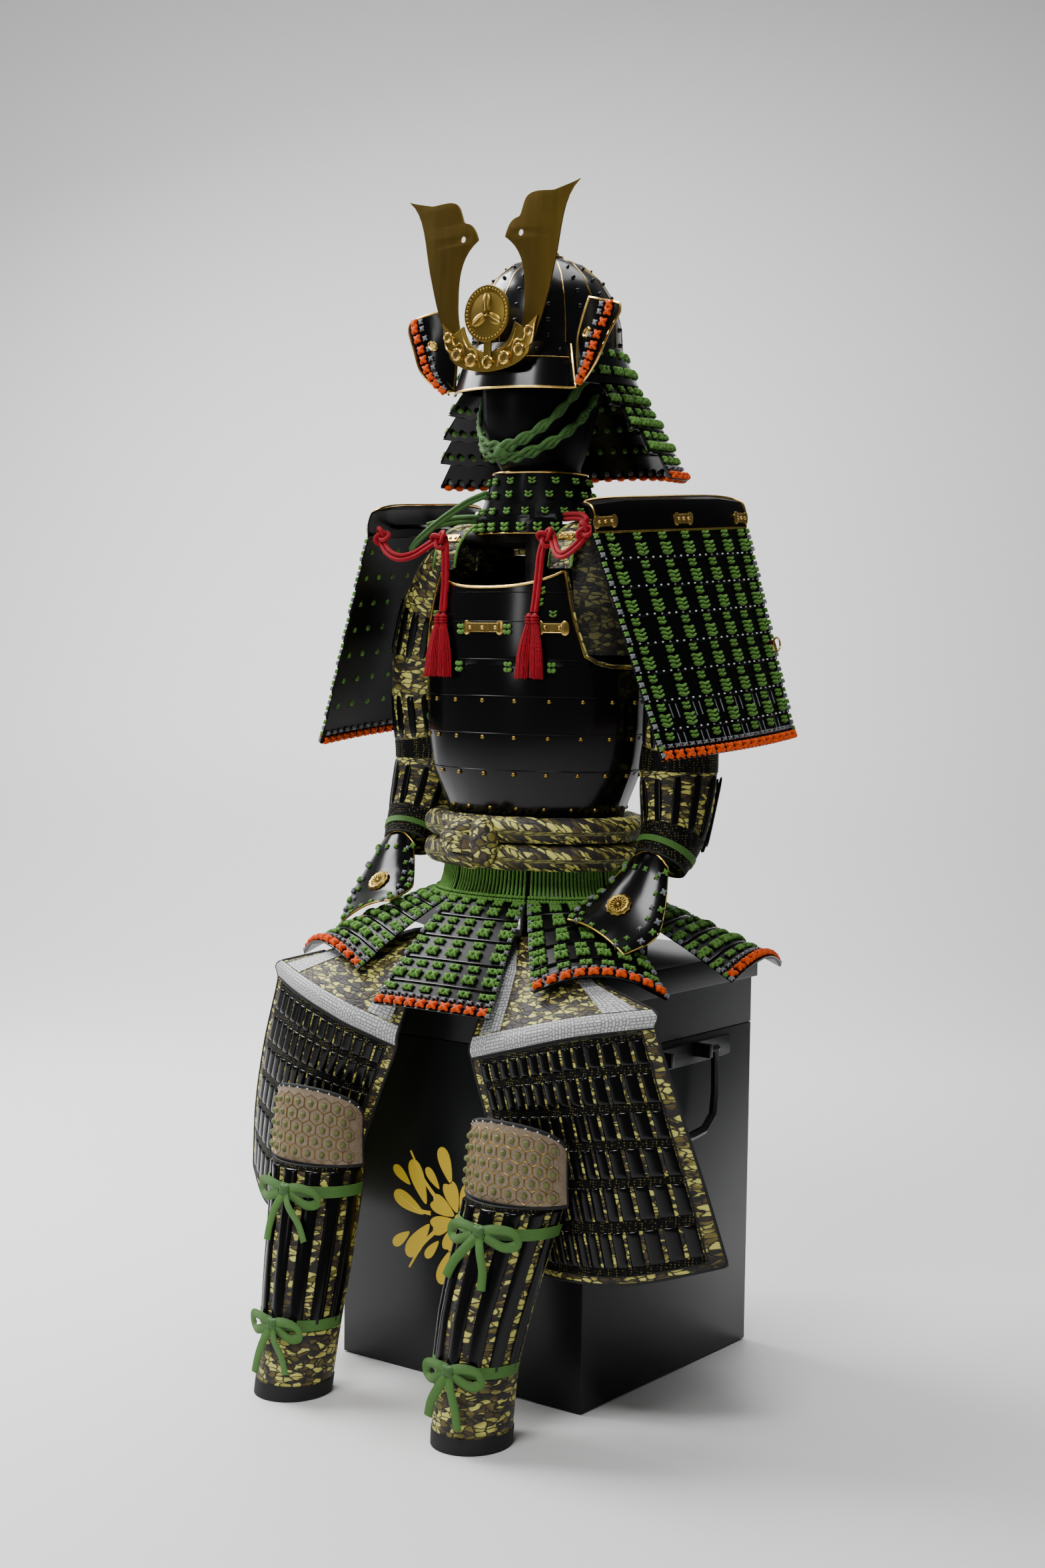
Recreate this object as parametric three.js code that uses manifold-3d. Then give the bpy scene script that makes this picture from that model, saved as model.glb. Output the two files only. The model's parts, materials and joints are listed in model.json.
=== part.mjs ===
// Seated samurai armour on its armour box and inner stand.
// Millimetres, +Z up. The front faces -Y and the armour's own left is +X.
// The origin lies on the floor under the middle of the box.

import * as THREE from 'three';
import { mergeVertices } from 'three/addons/utils/BufferGeometryUtils.js';
import Module from 'manifold-3d';

const wasm = await Module();
wasm.setup();

// Driving dimensions

const GAP = 0.4;
const CLOTH = 2.0;
const LAME = 2.4;

const BOX = { half: 200, height: 552, seam: 452, cap: 515, overhang: 6, wall: 8, floor: 8, top: 12 };
const BAIL = { reach: 69, rod: 6, drop: 108, stand: 22, pivotZ: 434, pin: 5, corner: 30 };
const STAND = {
  footX: 120, footY: 100, footZ: 15, post: 19, bar: 16, barX: 116, barZ: 1118, topZ: 1150, y: -45,
};
const BODY_Y = -45;
const HELM = { y: -34, a: 98, b: 105, baseZ: 1360, rise: 127, plates: 14, skin: 2, ridge: 1.4 };
const HORN = { back: -157.3, front: -159.7, base: -160, baseFront: -163 };
const CREST = { z: 1399, radius: 36, back: -163.4, thick: 4 };
const SASH = { a: 130, b: 98, halfZ: 17.6, depth: 17, upperZ: 731, lowerZ: 695, sides: 24 };
const TASSET = { topZ: 749.2, bandZ: 636, halfAngle: 24.6, lames: 5, pitch: 360 / 7, belly: 5 };
const CORD = { half: 6.5, thick: 3.4 };

// Horizontal sections of the cuirass, measured on its inner skin
const CUIRASS = [
  { z: 751, a: 128, b: 96 },
  { z: 792, a: 148, b: 111 },
  { z: 852, a: 158, b: 116 },
  { z: 918, a: 163, b: 118 },
  { z: 1002, a: 163, b: 118 },
  { z: 1048, a: 156, b: 113 },
  { z: 1075, a: 148, b: 106 },
  { z: 1110, a: 140, b: 97 },
];
const PLATE_SEAMS = [808, 856, 905];

// Sections of the smooth head form: height, centre, half width and half depth
const HEAD = [
  { z: 1150, y: -40, a: 50, b: 50 },
  { z: 1196, y: -40, a: 50, b: 52 },
  { z: 1214, y: -48, a: 52, b: 66 },
  { z: 1240, y: -52, a: 64, b: 80 },
  { z: 1290, y: -46, a: 72, b: 88 },
  { z: 1340, y: -40, a: 76, b: 92 },
  { z: 1390, y: -36, a: 72, b: 86 },
  { z: 1440, y: -34, a: 60, b: 68 },
  { z: 1466, y: -34, a: 42, b: 47 },
  { z: 1481.4, y: -34, a: 26, b: 29 },
];

// Neck guard rows: height at the front edge and the back, inner half width and depth, front edge angle
const NECK_GUARD = [
  { front: 1366, back: 1366, a: 99.4, b: 106.4, start: 56.4 },
  { front: 1312, back: 1322, a: 119, b: 121, start: 57 },
  { front: 1283, back: 1294, a: 138, b: 137, start: 72 },
  { front: 1253, back: 1266, a: 156, b: 153, start: 80 },
  { front: 1222, back: 1238, a: 173, b: 168, start: 87 },
  { front: 1190, back: 1208, a: 190, b: 183, start: 94 },
];

// Visor rows, from the bowl's base down to the rim
const VISOR = [
  { z: 1364, a: 98.9, b: 105.9, end: 55.4 },
  { z: 1345, a: 106, b: 116, end: 55.8 },
  { z: 1324, a: 112, b: 123, end: 56.1 },
  { z: 1304, a: 118, b: 129, end: 56.4 },
];

// Turnback stations from its low corner up: inner edge point and outer edge point
const TURNBACK = [
  { ix: 103.5, iy: -102, iz: 1311, ox: 108, oy: -107, oz: 1307 },
  { ix: 101, iy: -102, iz: 1328, ox: 130, oy: -116, oz: 1320 },
  { ix: 99, iy: -102, iz: 1346, ox: 148, oy: -121, oz: 1340 },
  { ix: 102, iy: -105, iz: 1370, ox: 160, oy: -119, oz: 1366 },
  { ix: 113, iy: -108, iz: 1398, ox: 174, oy: -114, oz: 1394 },
  { ix: 123, iy: -110, iz: 1418, ox: 172, oy: -112, oz: 1406 },
];

// Shoulder strap centre line on its under side
const STRAP = [
  { y: -128, z: 1070.9 },
  { y: -120, z: 1101 },
  { y: -92, z: 1126 },
  { y: -45, z: 1135 },
  { y: 0, z: 1131 },
  { y: 30, z: 1118 },
  { y: 46, z: 1098 },
];
const STRAP_X = 96;
const STRAP_HALF = 18;

// Shoulder guard corners on its inner skin: front and back, top and bottom
const SODE = {
  topFront: [183, -184, 1112],
  topBack: [232, 103, 1132],
  lowFront: [281, -166, 830],
  lowBack: [301, 123, 852],
  lames: 8,
  bow: 16,
  plateRise: 42,
  plateLean: 26,
};

// Sleeve centre line with its half width across and along the arm's plane
const SLEEVE = [
  { x: 127, y: -44, z: 1095, r: 26 },
  { x: 140, y: -44, z: 1087, r: 31 },
  { x: 168, y: -42, z: 1062, r: 36 },
  { x: 200, y: -36, z: 1000, r: 39 },
  { x: 214, y: -28, z: 930, r: 42 },
  { x: 213, y: -17, z: 860, r: 46 },
  { x: 208, y: -13, z: 808, r: 49 },
  { x: 214, y: -22, z: 757, r: 44 },
  { x: 215, y: -40, z: 720, r: 38 },
  { x: 212, y: -58, z: 692, r: 33 },
];

// Thigh guard rows from the waist down, each with four points across from the inner edge outwards
const THIGH_ROWS = [
  { xs: [26, 62, 98, 134], ys: [-146, -148, -146, -138], zs: [586, 590, 588, 582] },
  { xs: [62, 112, 168, 226], ys: [-206.8, -206.8, -206.8, -206], zs: [553, 553, 553, 552.6] },
  { xs: [60, 140, 225, 311], ys: [-254, -264, -252, -213], zs: [469, 492, 514, 529] },
  { xs: [64, 144, 229, 314], ys: [-256, -266, -254, -213], zs: [441, 464, 487, 502] },
  { xs: [90, 166, 254, 345], ys: [-259, -268, -256, -206], zs: [376, 388, 402, 412] },
  { xs: [122, 192, 280, 374], ys: [-258, -267, -252, -192], zs: [292, 296, 306, 318] },
  { xs: [152, 218, 302, 397], ys: [-252, -261, -243, -172], zs: [192, 190, 196, 221] },
];
const THIGH_LAMES = 6;
const THIGH_SPLINTS = 7;

// Shin guard rows from the floor up: centre and half sizes, and half of the back opening in degrees
const SHIN = [
  { z: 0.0, x: 148, y: -357, a: 46, b: 50, open: 150 },
  { z: 90, x: 145, y: -344, a: 50, b: 49, open: 148 },
  { z: 170, x: 149, y: -326, a: 56, b: 52, open: 140 },
  { z: 240, x: 157, y: -306, a: 60, b: 52, open: 128 },
  { z: 292, x: 163, y: -294, a: 63, b: 52, open: 112 },
];
const KNEE = { lowZ: 292.8, topZ: 392, sideZ: 352, a: 73, b: 50, x: 164, y: -285, lean: 48, spread: 84 };

// Hand guard rows from the wrist to the knuckles: middle, half width, fall of both sides and of the outer one
const HAND = [
  { x: 211, y: -82.5, z: 708.4, half: 30, droop: 18, tilt: 2 },
  { x: 206, y: -112, z: 668, half: 50, droop: 24, tilt: 8 },
  { x: 200, y: -136, z: 638, half: 58, droop: 18, tilt: 16 },
  { x: 192, y: -172, z: 612, half: 44, droop: 8, tilt: 19 },
];

// Crimson cord from the shoulder guard's ring over the chest to the tassel
const CORD_ROUTE = [
  [170, -172, 1117], [163, -177, 1104], [150, -180, 1092], [134, -177, 1086], [118, -168, 1090],
  [104, -155, 1102], [94, -145, 1112], [87, -143, 1113], [82, -146, 1104], [79, -149, 1088],
  [77.5, -150, 1068],
  [76.5, -152, 1046], [76, -155, 1026], [75.5, -157, 1014],
];

const TIES = [
  { name: 'lower', z: 97, proud: 4 },
  { name: 'upper', z: 262, proud: 6.4 },
];

const LOOKS = {
  lacquer: { color: 0x0b0b0d, roughness: 0.25, metalness: 0.0 },
  satin: { color: 0x101114, roughness: 0.45, metalness: 0.0 },
  gilt: { color: 0xb08a3a, roughness: 0.35, metalness: 1.0 },
  lacing: { color: 0x3f6b35, roughness: 0.8, metalness: 0.0 },
  crimson: { color: 0xb4122c, roughness: 0.6, metalness: 0.0 },
  brocade: { color: 0x6f6630, roughness: 0.7, metalness: 0.0 },
  leather: { color: 0xa38a6c, roughness: 0.6, metalness: 0.0 },
};

// Small tools

const v3 = (x, y, z) => new THREE.Vector3(x, y, z);
const { degToRad, lerp, clamp } = THREE.MathUtils;
const mirrored = (points) => points.map((row) => row.map((p) => v3(-p.x, p.y, p.z)));

// A table's row at a value of one column, every other column blended smoothly
function rowAt(table, column, value) {
  const rising = table[table.length - 1][column] > table[0][column];
  let i = 0;
  while (i < table.length - 2 && (rising ? table[i + 1][column] < value : table[i + 1][column] > value)) {
    i += 1;
  }
  const t = clamp((value - table[i][column]) / (table[i + 1][column] - table[i][column]), 0, 1);
  return blendRows(table, i + t);
}

// A table's row at a fractional row number, by a Catmull-Rom spline
function blendRows(table, at) {
  const i = clamp(Math.floor(at), 0, table.length - 2);
  const t = at - i;
  const before = table[Math.max(i - 1, 0)];
  const after = table[Math.min(i + 2, table.length - 1)];
  const row = {};
  for (const key of Object.keys(table[i])) {
    const from = table[i][key];
    const to = table[i + 1][key];
    const slopeFrom = (to - before[key]) / 2;
    const slopeTo = (after[key] - from) / 2;
    const t2 = t * t;
    const t3 = t2 * t;
    row[key] = (2 * t3 - 3 * t2 + 1) * from + (t3 - 2 * t2 + t) * slopeFrom
      + (3 * t2 - 2 * t3) * to + (t3 - t2) * slopeTo;
  }
  return row;
}

const steps = (from, to, count) => Array.from({ length: count + 1 }, (_, i) => lerp(from, to, i / count));

// Point of an ellipse in plan; angle 0 is the front and +90 the armour's left
function oval(angle, a, b, centreY, z, centreX = 0) {
  const turn = degToRad(angle);
  return v3(centreX + a * Math.sin(turn), centreY - b * Math.cos(turn), z);
}

// Closed geometry from shared points and triangles, turned to face outwards
function closedGeometry(points, faces) {
  let volume = 0;
  for (let i = 0; i < faces.length; i += 3) {
    const [a, b, c] = [points[faces[i]], points[faces[i + 1]], points[faces[i + 2]]];
    volume += a.dot(v3(0, 0, 0).crossVectors(b, c));
  }
  if (volume < 0) {
    faces.reverse();
  }
  const geometry = new THREE.BufferGeometry();
  const position = new Float32Array(points.length * 3);
  points.forEach((p, i) => p.toArray(position, i * 3));
  geometry.setAttribute('position', new THREE.BufferAttribute(position, 3));
  geometry.setIndex(faces);
  return geometry;
}

// Wall on a grid of inner points: the outer skin stands off along the grid's normals
function wall(base, thickness, inside, ring = false) {
  const rows = base.length;
  const cols = base[0].length;
  const normals = base.map((row, r) => row.map((_, c) => {
    const next = ring ? (c + 1) % cols : Math.min(c + 1, cols - 1);
    const last = ring ? (c + cols - 1) % cols : Math.max(c - 1, 0);
    const across = row[next].clone().sub(row[last]);
    const along = base[Math.min(r + 1, rows - 1)][c].clone().sub(base[Math.max(r - 1, 0)][c]);
    return across.cross(along).normalize();
  }));
  let outward = 0;
  base.forEach((row, r) => row.forEach((p, c) => {
    outward += normals[r][c].dot(p.clone().sub(inside));
  }));
  const side = Math.sign(outward);
  const height = typeof thickness === 'function' ? thickness : () => thickness;
  const outer = base.map((row, r) => row.map((p, c) => (
    p.clone().addScaledVector(normals[r][c], side * height(r, c)))));
  return wallBetween(base, outer, ring);
}

// Closed wall between two grids of points
function wallBetween(inner, outer, ring = false) {
  const rows = inner.length;
  const cols = inner[0].length;
  const points = [...inner.flat(), ...outer.flat()];
  const at = (skin, r, c) => skin * rows * cols + r * cols + (c % cols);
  const faces = [];
  const quad = (a, b, c, d) => faces.push(a, b, c, a, c, d);
  const span = ring ? cols : cols - 1;
  for (let c = 0; c < span; c += 1) {
    for (let r = 0; r < rows - 1; r += 1) {
      quad(at(0, r, c), at(0, r, c + 1), at(0, r + 1, c + 1), at(0, r + 1, c));
      quad(at(1, r, c), at(1, r + 1, c), at(1, r + 1, c + 1), at(1, r, c + 1));
    }
    quad(at(0, 0, c), at(1, 0, c), at(1, 0, c + 1), at(0, 0, c + 1));
    quad(at(0, rows - 1, c), at(0, rows - 1, c + 1), at(1, rows - 1, c + 1), at(1, rows - 1, c));
  }
  if (!ring) {
    for (let r = 0; r < rows - 1; r += 1) {
      quad(at(0, r, 0), at(0, r + 1, 0), at(1, r + 1, 0), at(1, r, 0));
      quad(at(0, r, cols - 1), at(1, r, cols - 1), at(1, r + 1, cols - 1), at(0, r + 1, cols - 1));
    }
  }
  return closedGeometry(points, faces);
}

// Solid through closed rings of points, with a fan of triangles over each end
function lofted(rings) {
  const cols = rings[0].length;
  const points = rings.flat();
  const faces = [];
  for (let r = 0; r < rings.length - 1; r += 1) {
    for (let c = 0; c < cols; c += 1) {
      const d = (c + 1) % cols;
      const low = r * cols;
      const high = low + cols;
      faces.push(low + c, low + d, high + d, low + c, high + d, high + c);
    }
  }
  const cap = (start, turn) => {
    for (let c = 1; c < cols - 1; c += 1) {
      faces.push(...(turn ? [start, start + c + 1, start + c] : [start, start + c, start + c + 1]));
    }
  };
  cap(0, true);
  cap((rings.length - 1) * cols, false);
  return closedGeometry(points, faces);
}

// Closed ring of cord round a flat loop of centres: half size in the loop's plane, and a vector across it
function ringTube(centres, sides, radial, across) {
  const count = centres.length;
  const middle = centres.reduce((sum, p) => sum.add(p), v3(0, 0, 0)).divideScalar(count);
  const points = centres.flatMap((p) => {
    const out = p.clone().sub(middle).normalize();
    return Array.from({ length: sides }, (_, s) => {
      const turn = (s / sides) * Math.PI * 2;
      const swung = p.clone().addScaledVector(out, radial * Math.cos(turn));
      return swung.addScaledVector(across, Math.sin(turn));
    });
  });
  const faces = [];
  for (let i = 0; i < count; i += 1) {
    for (let s = 0; s < sides; s += 1) {
      const here = i * sides;
      const there = ((i + 1) % count) * sides;
      const t = (s + 1) % sides;
      faces.push(here + s, there + s, there + t, here + s, there + t, here + t);
    }
  }
  return closedGeometry(points, faces);
}

// Tube of an elliptical section along a smooth path
function tube(path, halfWide, halfThick, sides, count) {
  const section = new THREE.Shape();
  for (let s = 0; s < sides; s += 1) {
    const turn = (s / sides) * Math.PI * 2;
    section[s === 0 ? 'moveTo' : 'lineTo'](halfWide * Math.cos(turn), halfThick * Math.sin(turn));
  }
  section.closePath();
  const extrudePath = new THREE.CatmullRomCurve3(path);
  return new THREE.ExtrudeGeometry(section, { steps: count, extrudePath, bevelEnabled: false });
}

// Plate cut from an outline in the XZ plane, between two depths
function frontPlate(outline, back, front, curveSegments = 6) {
  const depth = back - front;
  const geometry = new THREE.ExtrudeGeometry(outline, { depth, bevelEnabled: false, curveSegments });
  geometry.rotateX(Math.PI / 2);
  geometry.translate(0, back, 0);
  return geometry;
}

function slab(x0, x1, y0, y1, z0, z1) {
  const geometry = new THREE.BoxGeometry(x1 - x0, y1 - y0, z1 - z0);
  geometry.translate((x0 + x1) / 2, (y0 + y1) / 2, (z0 + z1) / 2);
  return geometry;
}

function rod(from, to, radius, sides = 8) {
  const geometry = new THREE.CylinderGeometry(radius, radius, from.distanceTo(to), sides);
  const turn = new THREE.Quaternion().setFromUnitVectors(v3(0, 1, 0), to.clone().sub(from).normalize());
  geometry.applyQuaternion(turn);
  geometry.translate(...from.clone().add(to).divideScalar(2).toArray());
  return geometry;
}

function ball(centre, rx, ry, rz, wide = 12, high = 8) {
  const geometry = new THREE.SphereGeometry(1, wide, high);
  geometry.scale(rx, ry, rz);
  geometry.translate(centre.x, centre.y, centre.z);
  return geometry;
}

function merged(geometry) {
  const bare = geometry.clone();
  bare.deleteAttribute('normal');
  bare.deleteAttribute('uv');
  return mergeVertices(bare, 1e-3);
}

function toSolid(geometry) {
  const shared = merged(geometry);
  return new wasm.Manifold(new wasm.Mesh({
    numProp: 3,
    vertProperties: new Float32Array(shared.attributes.position.array),
    triVerts: new Uint32Array(shared.index.array),
  }));
}

function fromSolid(solid) {
  const mesh = solid.getMesh();
  const geometry = new THREE.BufferGeometry();
  geometry.setAttribute('position', new THREE.BufferAttribute(new Float32Array(mesh.vertProperties), 3));
  geometry.setIndex(Array.from(mesh.triVerts));
  return geometry;
}

const joined = (...parts) => fromSolid(parts.map(toSolid).reduce((sum, part) => sum.add(part)));
const cutAway = (body, ...tools) => fromSolid(
  tools.map(toSolid).reduce((left, tool) => left.subtract(tool), toSolid(body)));

const armour = new THREE.Group();

function add(name, geometry, look) {
  const mesh = new THREE.Mesh(geometry, new THREE.MeshStandardMaterial(LOOKS[look]));
  mesh.name = name;
  armour.add(mesh);
}

const SIDES = [
  { label: 'left', sign: 1 },
  { label: 'right', sign: -1 },
];
const onSide = (side, grid) => (side.sign > 0 ? grid : mirrored(grid));
const sidePoint = (side, x, y, z) => v3(side.sign * x, y, z);

// Armour box with its lift-off lid and two swinging bails

function addBox() {
  const { half, wall: board } = BOX;
  const inner = half - board;
  const body = slab(-half, half, -half, half, 0, BOX.seam - GAP);
  add('box_body', cutAway(body, slab(-inner, inner, -inner, inner, BOX.floor, BOX.seam + 1)), 'satin');
  const out = half + BOX.overhang;
  const skirt = slab(-half, half, -half, half, BOX.seam, BOX.cap + 1);
  const cap = slab(-out, out, -out, out, BOX.cap, BOX.height);
  const hollow = slab(-inner, inner, -inner, inner, BOX.seam - 1, BOX.height - BOX.top);
  add('box_lid', cutAway(joined(skirt, cap), hollow), 'satin');
  for (const side of SIDES) {
    addBail(side);
  }
}

function addBail(side) {
  const { reach, rod: radius, drop, stand, pivotZ, pin, corner } = BAIL;
  const plateX = BOX.half + GAP;
  const [x0, x1] = [plateX, plateX + 3].map((x) => x * side.sign).sort((p, q) => p - q);
  const plate = slab(x0, x1, -reach - 70, reach + 70, pivotZ - 18, pivotZ + 8);
  const ears = [-1, 1].map((end) => {
    const y = end * (reach - 22);
    const [e0, e1] = [plateX + 2, plateX + stand + 8].map((x) => x * side.sign).sort((p, q) => p - q);
    return slab(e0, e1, y - 4, y + 4, pivotZ - 9, pivotZ + 9);
  });
  const bores = [-1, 1].map((end) => rod(
    sidePoint(side, plateX + stand, end * (reach - 30), pivotZ),
    sidePoint(side, plateX + stand, end * (reach - 10), pivotZ), pin + 1.5 * GAP));
  const mount = cutAway(joined(plate, ...ears), ...bores);
  add(`handle_mount_${side.label}`, mount, 'satin');
  const x = plateX + stand;
  const path = [
    v3(side.sign * x, reach, pivotZ),
    v3(side.sign * x, reach, pivotZ - drop + corner),
    v3(side.sign * x, reach - 9, pivotZ - drop + 9),
    v3(side.sign * x, reach - corner, pivotZ - drop),
    v3(side.sign * x, -reach + corner, pivotZ - drop),
    v3(side.sign * x, -reach + 9, pivotZ - drop + 9),
    v3(side.sign * x, -reach, pivotZ - drop + corner),
    v3(side.sign * x, -reach, pivotZ),
  ];
  const pins = [-1, 1].map((end) => rod(
    sidePoint(side, x, end * (reach - 28), pivotZ), sidePoint(side, x, end * (reach + 6), pivotZ), pin));
  add(`handle_${side.label}`, joined(tube(path, radius, radius, 6, 11), ...pins), 'satin');
}

// Inner stand: foot on the lid, post, round shoulder bar and the plain head form

function addStand() {
  const foot = slab(-STAND.footX, STAND.footX, STAND.y - STAND.footY + 20, STAND.y + STAND.footY,
    BOX.height + GAP, BOX.height + GAP + STAND.footZ);
  const post = rod(v3(0, STAND.y, BOX.height + 5), v3(0, STAND.y, STAND.topZ - GAP), STAND.post, 16);
  const bar = rod(v3(-STAND.barX, STAND.y, STAND.barZ), v3(STAND.barX, STAND.y, STAND.barZ), STAND.bar, 12);
  add('stand', joined(foot, post, bar), 'satin');
  add('head_form', lofted(steps(0, HEAD.length - 1, 10).map((at) => {
    const row = blendRows(HEAD, at);
    return headRing(row, 0, 14);
  })), 'lacquer');
}

function headRing(row, offset, count) {
  return Array.from({ length: count }, (_, i) => (
    oval((i / count) * 360, row.a + offset, row.b + offset, row.y, row.z)));
}

// Point beside the head form at an angle and height
function besideHead(angle, z, offset) {
  const row = rowAt(HEAD, 'z', z);
  return oval(angle, row.a + offset, row.b + offset, row.y, z);
}

// Helmet

const BOWL = [
  { rise: 0, scale: 1 },
  { rise: 0.3, scale: 0.975 },
  { rise: 0.55, scale: 0.88 },
  { rise: 0.75, scale: 0.72 },
  { rise: 0.9, scale: 0.49 },
  { rise: 0.985, scale: 0.2 },
];

function addHelmet() {
  const count = HELM.plates * 2;
  const bowl = BOWL.map(({ rise, scale }) => Array.from({ length: count }, (_, i) => oval(
    (i / count) * 360, (HELM.a - HELM.skin) * scale, (HELM.b - HELM.skin) * scale,
    HELM.y, HELM.baseZ + HELM.rise * rise)));
  const ridge = (r, c) => HELM.skin + (c % 2 ? 0 : HELM.ridge * (r === 0 ? 0 : 1));
  add('helmet_bowl', wall(bowl, ridge, v3(0, HELM.y, HELM.baseZ), true), 'lacquer');

  const topZ = HELM.baseZ + HELM.rise;
  const profile = [[8, -1], [19, 2], [21, 5.2], [15, 6.2], [14, 10], [9, 12], [8, 6]];
  const rosette = new THREE.LatheGeometry([...profile, profile[0]].map(([x, y]) => (
    new THREE.Vector2(x, y))), 10);
  rosette.rotateX(Math.PI / 2);
  rosette.translate(0, HELM.y, topZ - 1.5);
  add('helmet_top', merged(rosette), 'gilt');

  const visor = steps(0, VISOR.length - 1, 4).map((at) => {
    const row = blendRows(VISOR, at);
    return steps(-row.end, row.end, 14).map((angle) => oval(angle, row.a, row.b, HELM.y, row.z));
  });
  add('visor', wall(visor, LAME, v3(0, HELM.y, 1335)), 'lacquer');

  addNeckGuard();
  for (const side of SIDES) {
    const grid = TURNBACK.map((row) => steps(0, 1, 3).map((t) => {
      const bulge = 7 * Math.sin(Math.PI * t);
      return v3(lerp(row.ix, row.ox, t), lerp(row.iy, row.oy, t) - bulge, lerp(row.iz, row.oz, t));
    }));
    const inside = sidePoint(side, 130, 0, 1360);
    add(`turnback_${side.label}`, wall(onSide(side, grid), LAME, inside), 'lacquer');
  }
  addCrest();
  addChinCord();
  const loop = Array.from({ length: 12 }, (_, i) => {
    const turn = (i / 12) * Math.PI * 2;
    return v3(13 * Math.cos(turn), 61, 1452 + 15 * Math.sin(turn));
  });
  add('helmet_loop', ringTube(loop, 6, 3.2, v3(0, 3.2, 0)), 'crimson');
}

// Neck guard of five laced lames, each standing proud of the one above at its lower edge
function addNeckGuard() {
  const grid = [];
  const heights = [];
  const lames = NECK_GUARD.length - 1;
  for (let lame = 0; lame < lames; lame += 1) {
    for (const part of [0.02, 0.98]) {
      const row = blendLinear(NECK_GUARD, lame + part);
      const start = NECK_GUARD[lame + 1].start;
      const first = lame === 0 ? row.start : start;
      grid.push(steps(first, 360 - first, 15).map((angle) => {
        const back = (1 - Math.cos(degToRad((angle - first) * (360 / (360 - 2 * first))))) / 2;
        return oval(angle, row.a, row.b, HELM.y, lerp(row.front, row.back, back));
      }));
      heights.push(part < 0.5 ? 1.2 : 4);
    }
  }
  add('neck_guard', wall(grid, (r) => heights[r], v3(0, HELM.y, 1300)), 'lacquer');
}

function blendLinear(table, at) {
  const i = clamp(Math.floor(at), 0, table.length - 2);
  const row = {};
  for (const key of Object.keys(table[i])) {
    row[key] = lerp(table[i][key], table[i + 1][key], at - i);
  }
  return row;
}

// Gilt crest: openwork base, two leaf-shaped horns and a round disc on a short stem
function addCrest() {
  const base = new THREE.Shape();
  base.moveTo(-78, 1392);
  base.lineTo(-64, 1346);
  base.quadraticCurveTo(-50, 1327, 0, 1324.5);
  base.quadraticCurveTo(50, 1327, 64, 1346);
  base.lineTo(78, 1392);
  base.lineTo(58, 1376);
  base.lineTo(42, 1386);
  base.quadraticCurveTo(34, 1352, 0, 1350);
  base.quadraticCurveTo(-34, 1352, -42, 1386);
  base.lineTo(-58, 1376);
  base.closePath();
  add('horn_base', frontPlate(base, HORN.base, HORN.baseFront), 'gilt');

  const horn = new THREE.Shape();
  horn.moveTo(30, 1336);
  horn.bezierCurveTo(50, 1365, 56, 1395, 55, 1420);
  horn.bezierCurveTo(55, 1450, 52, 1478, 22, 1496);
  horn.bezierCurveTo(26, 1508, 30, 1517, 42, 1519);
  horn.bezierCurveTo(48, 1519, 48, 1530, 54, 1541);
  horn.bezierCurveTo(62, 1553, 84, 1547, 100, 1547);
  horn.lineTo(138, 1556);
  horn.bezierCurveTo(108, 1535, 112, 1490, 98, 1444);
  horn.bezierCurveTo(88, 1405, 76, 1370, 54, 1339);
  horn.closePath();
  const eye = new THREE.Path();
  eye.absarc(47, 1499, 4.2, 0, Math.PI * 2, false);
  horn.holes.push(eye);
  for (const side of SIDES) {
    const plate = frontPlate(horn, HORN.back, HORN.front, 3);
    if (side.sign < 0) {
      plate.scale(-1, 1, 1);
    }
    add(`horn_${side.label}`, fromSolid(toSolid(outwards(plate))), 'gilt');
  }

  const disc = rod(v3(0, CREST.back, CREST.z), v3(0, CREST.back - CREST.thick, CREST.z), CREST.radius, 24);
  const stem = slab(-6, 6, CREST.back - 2.6, CREST.back, 1330, CREST.z - CREST.radius + 4);
  add('crest_disc', joined(disc, stem), 'gilt');
}

// A geometry's copy whose faces point out, whatever turned it over
function outwards(geometry) {
  const shared = merged(geometry);
  const position = shared.attributes.position;
  const pointAt = (_, i) => v3(0, 0, 0).fromBufferAttribute(position, i);
  const points = Array.from({ length: position.count }, pointAt);
  return closedGeometry(points, Array.from(shared.index.array));
}

// Braided chin cord: a strand over the chin, one under it, and the knot between them
function addChinCord() {
  const radius = 4.6;
  const stand = radius + GAP + 1.2;
  const off = (z) => stand + clamp((1250 - z) * 0.14, 0, 4.5);
  const beside = ([angle, z]) => besideHead(angle, z, off(z));
  const strand = (knots) => tube(knots.map(beside), radius, radius, 6, 10);
  const over = strand([[-84, 1326], [-70, 1296], [-50, 1262], [-25, 1238], [0, 1230],
    [25, 1238], [50, 1262], [70, 1296], [84, 1326]]);
  const under = strand([[-100, 1300], [-84, 1268], [-60, 1240], [-30, 1222], [0, 1217],
    [30, 1222], [60, 1240], [84, 1268], [100, 1300]]);
  const front = besideHead(0, 1226, off(1226) + 1);
  add('chin_cord', joined(over, under, ball(front, 15, stand, 10, 8, 6)), 'lacing');
}

// Cuirass, throat guard and shoulder straps

function cuirassPoint(angle, z, offset = 0) {
  const row = rowAt(CUIRASS, 'z', z);
  return oval(angle, row.a + offset, row.b + offset, BODY_Y, z);
}

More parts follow.
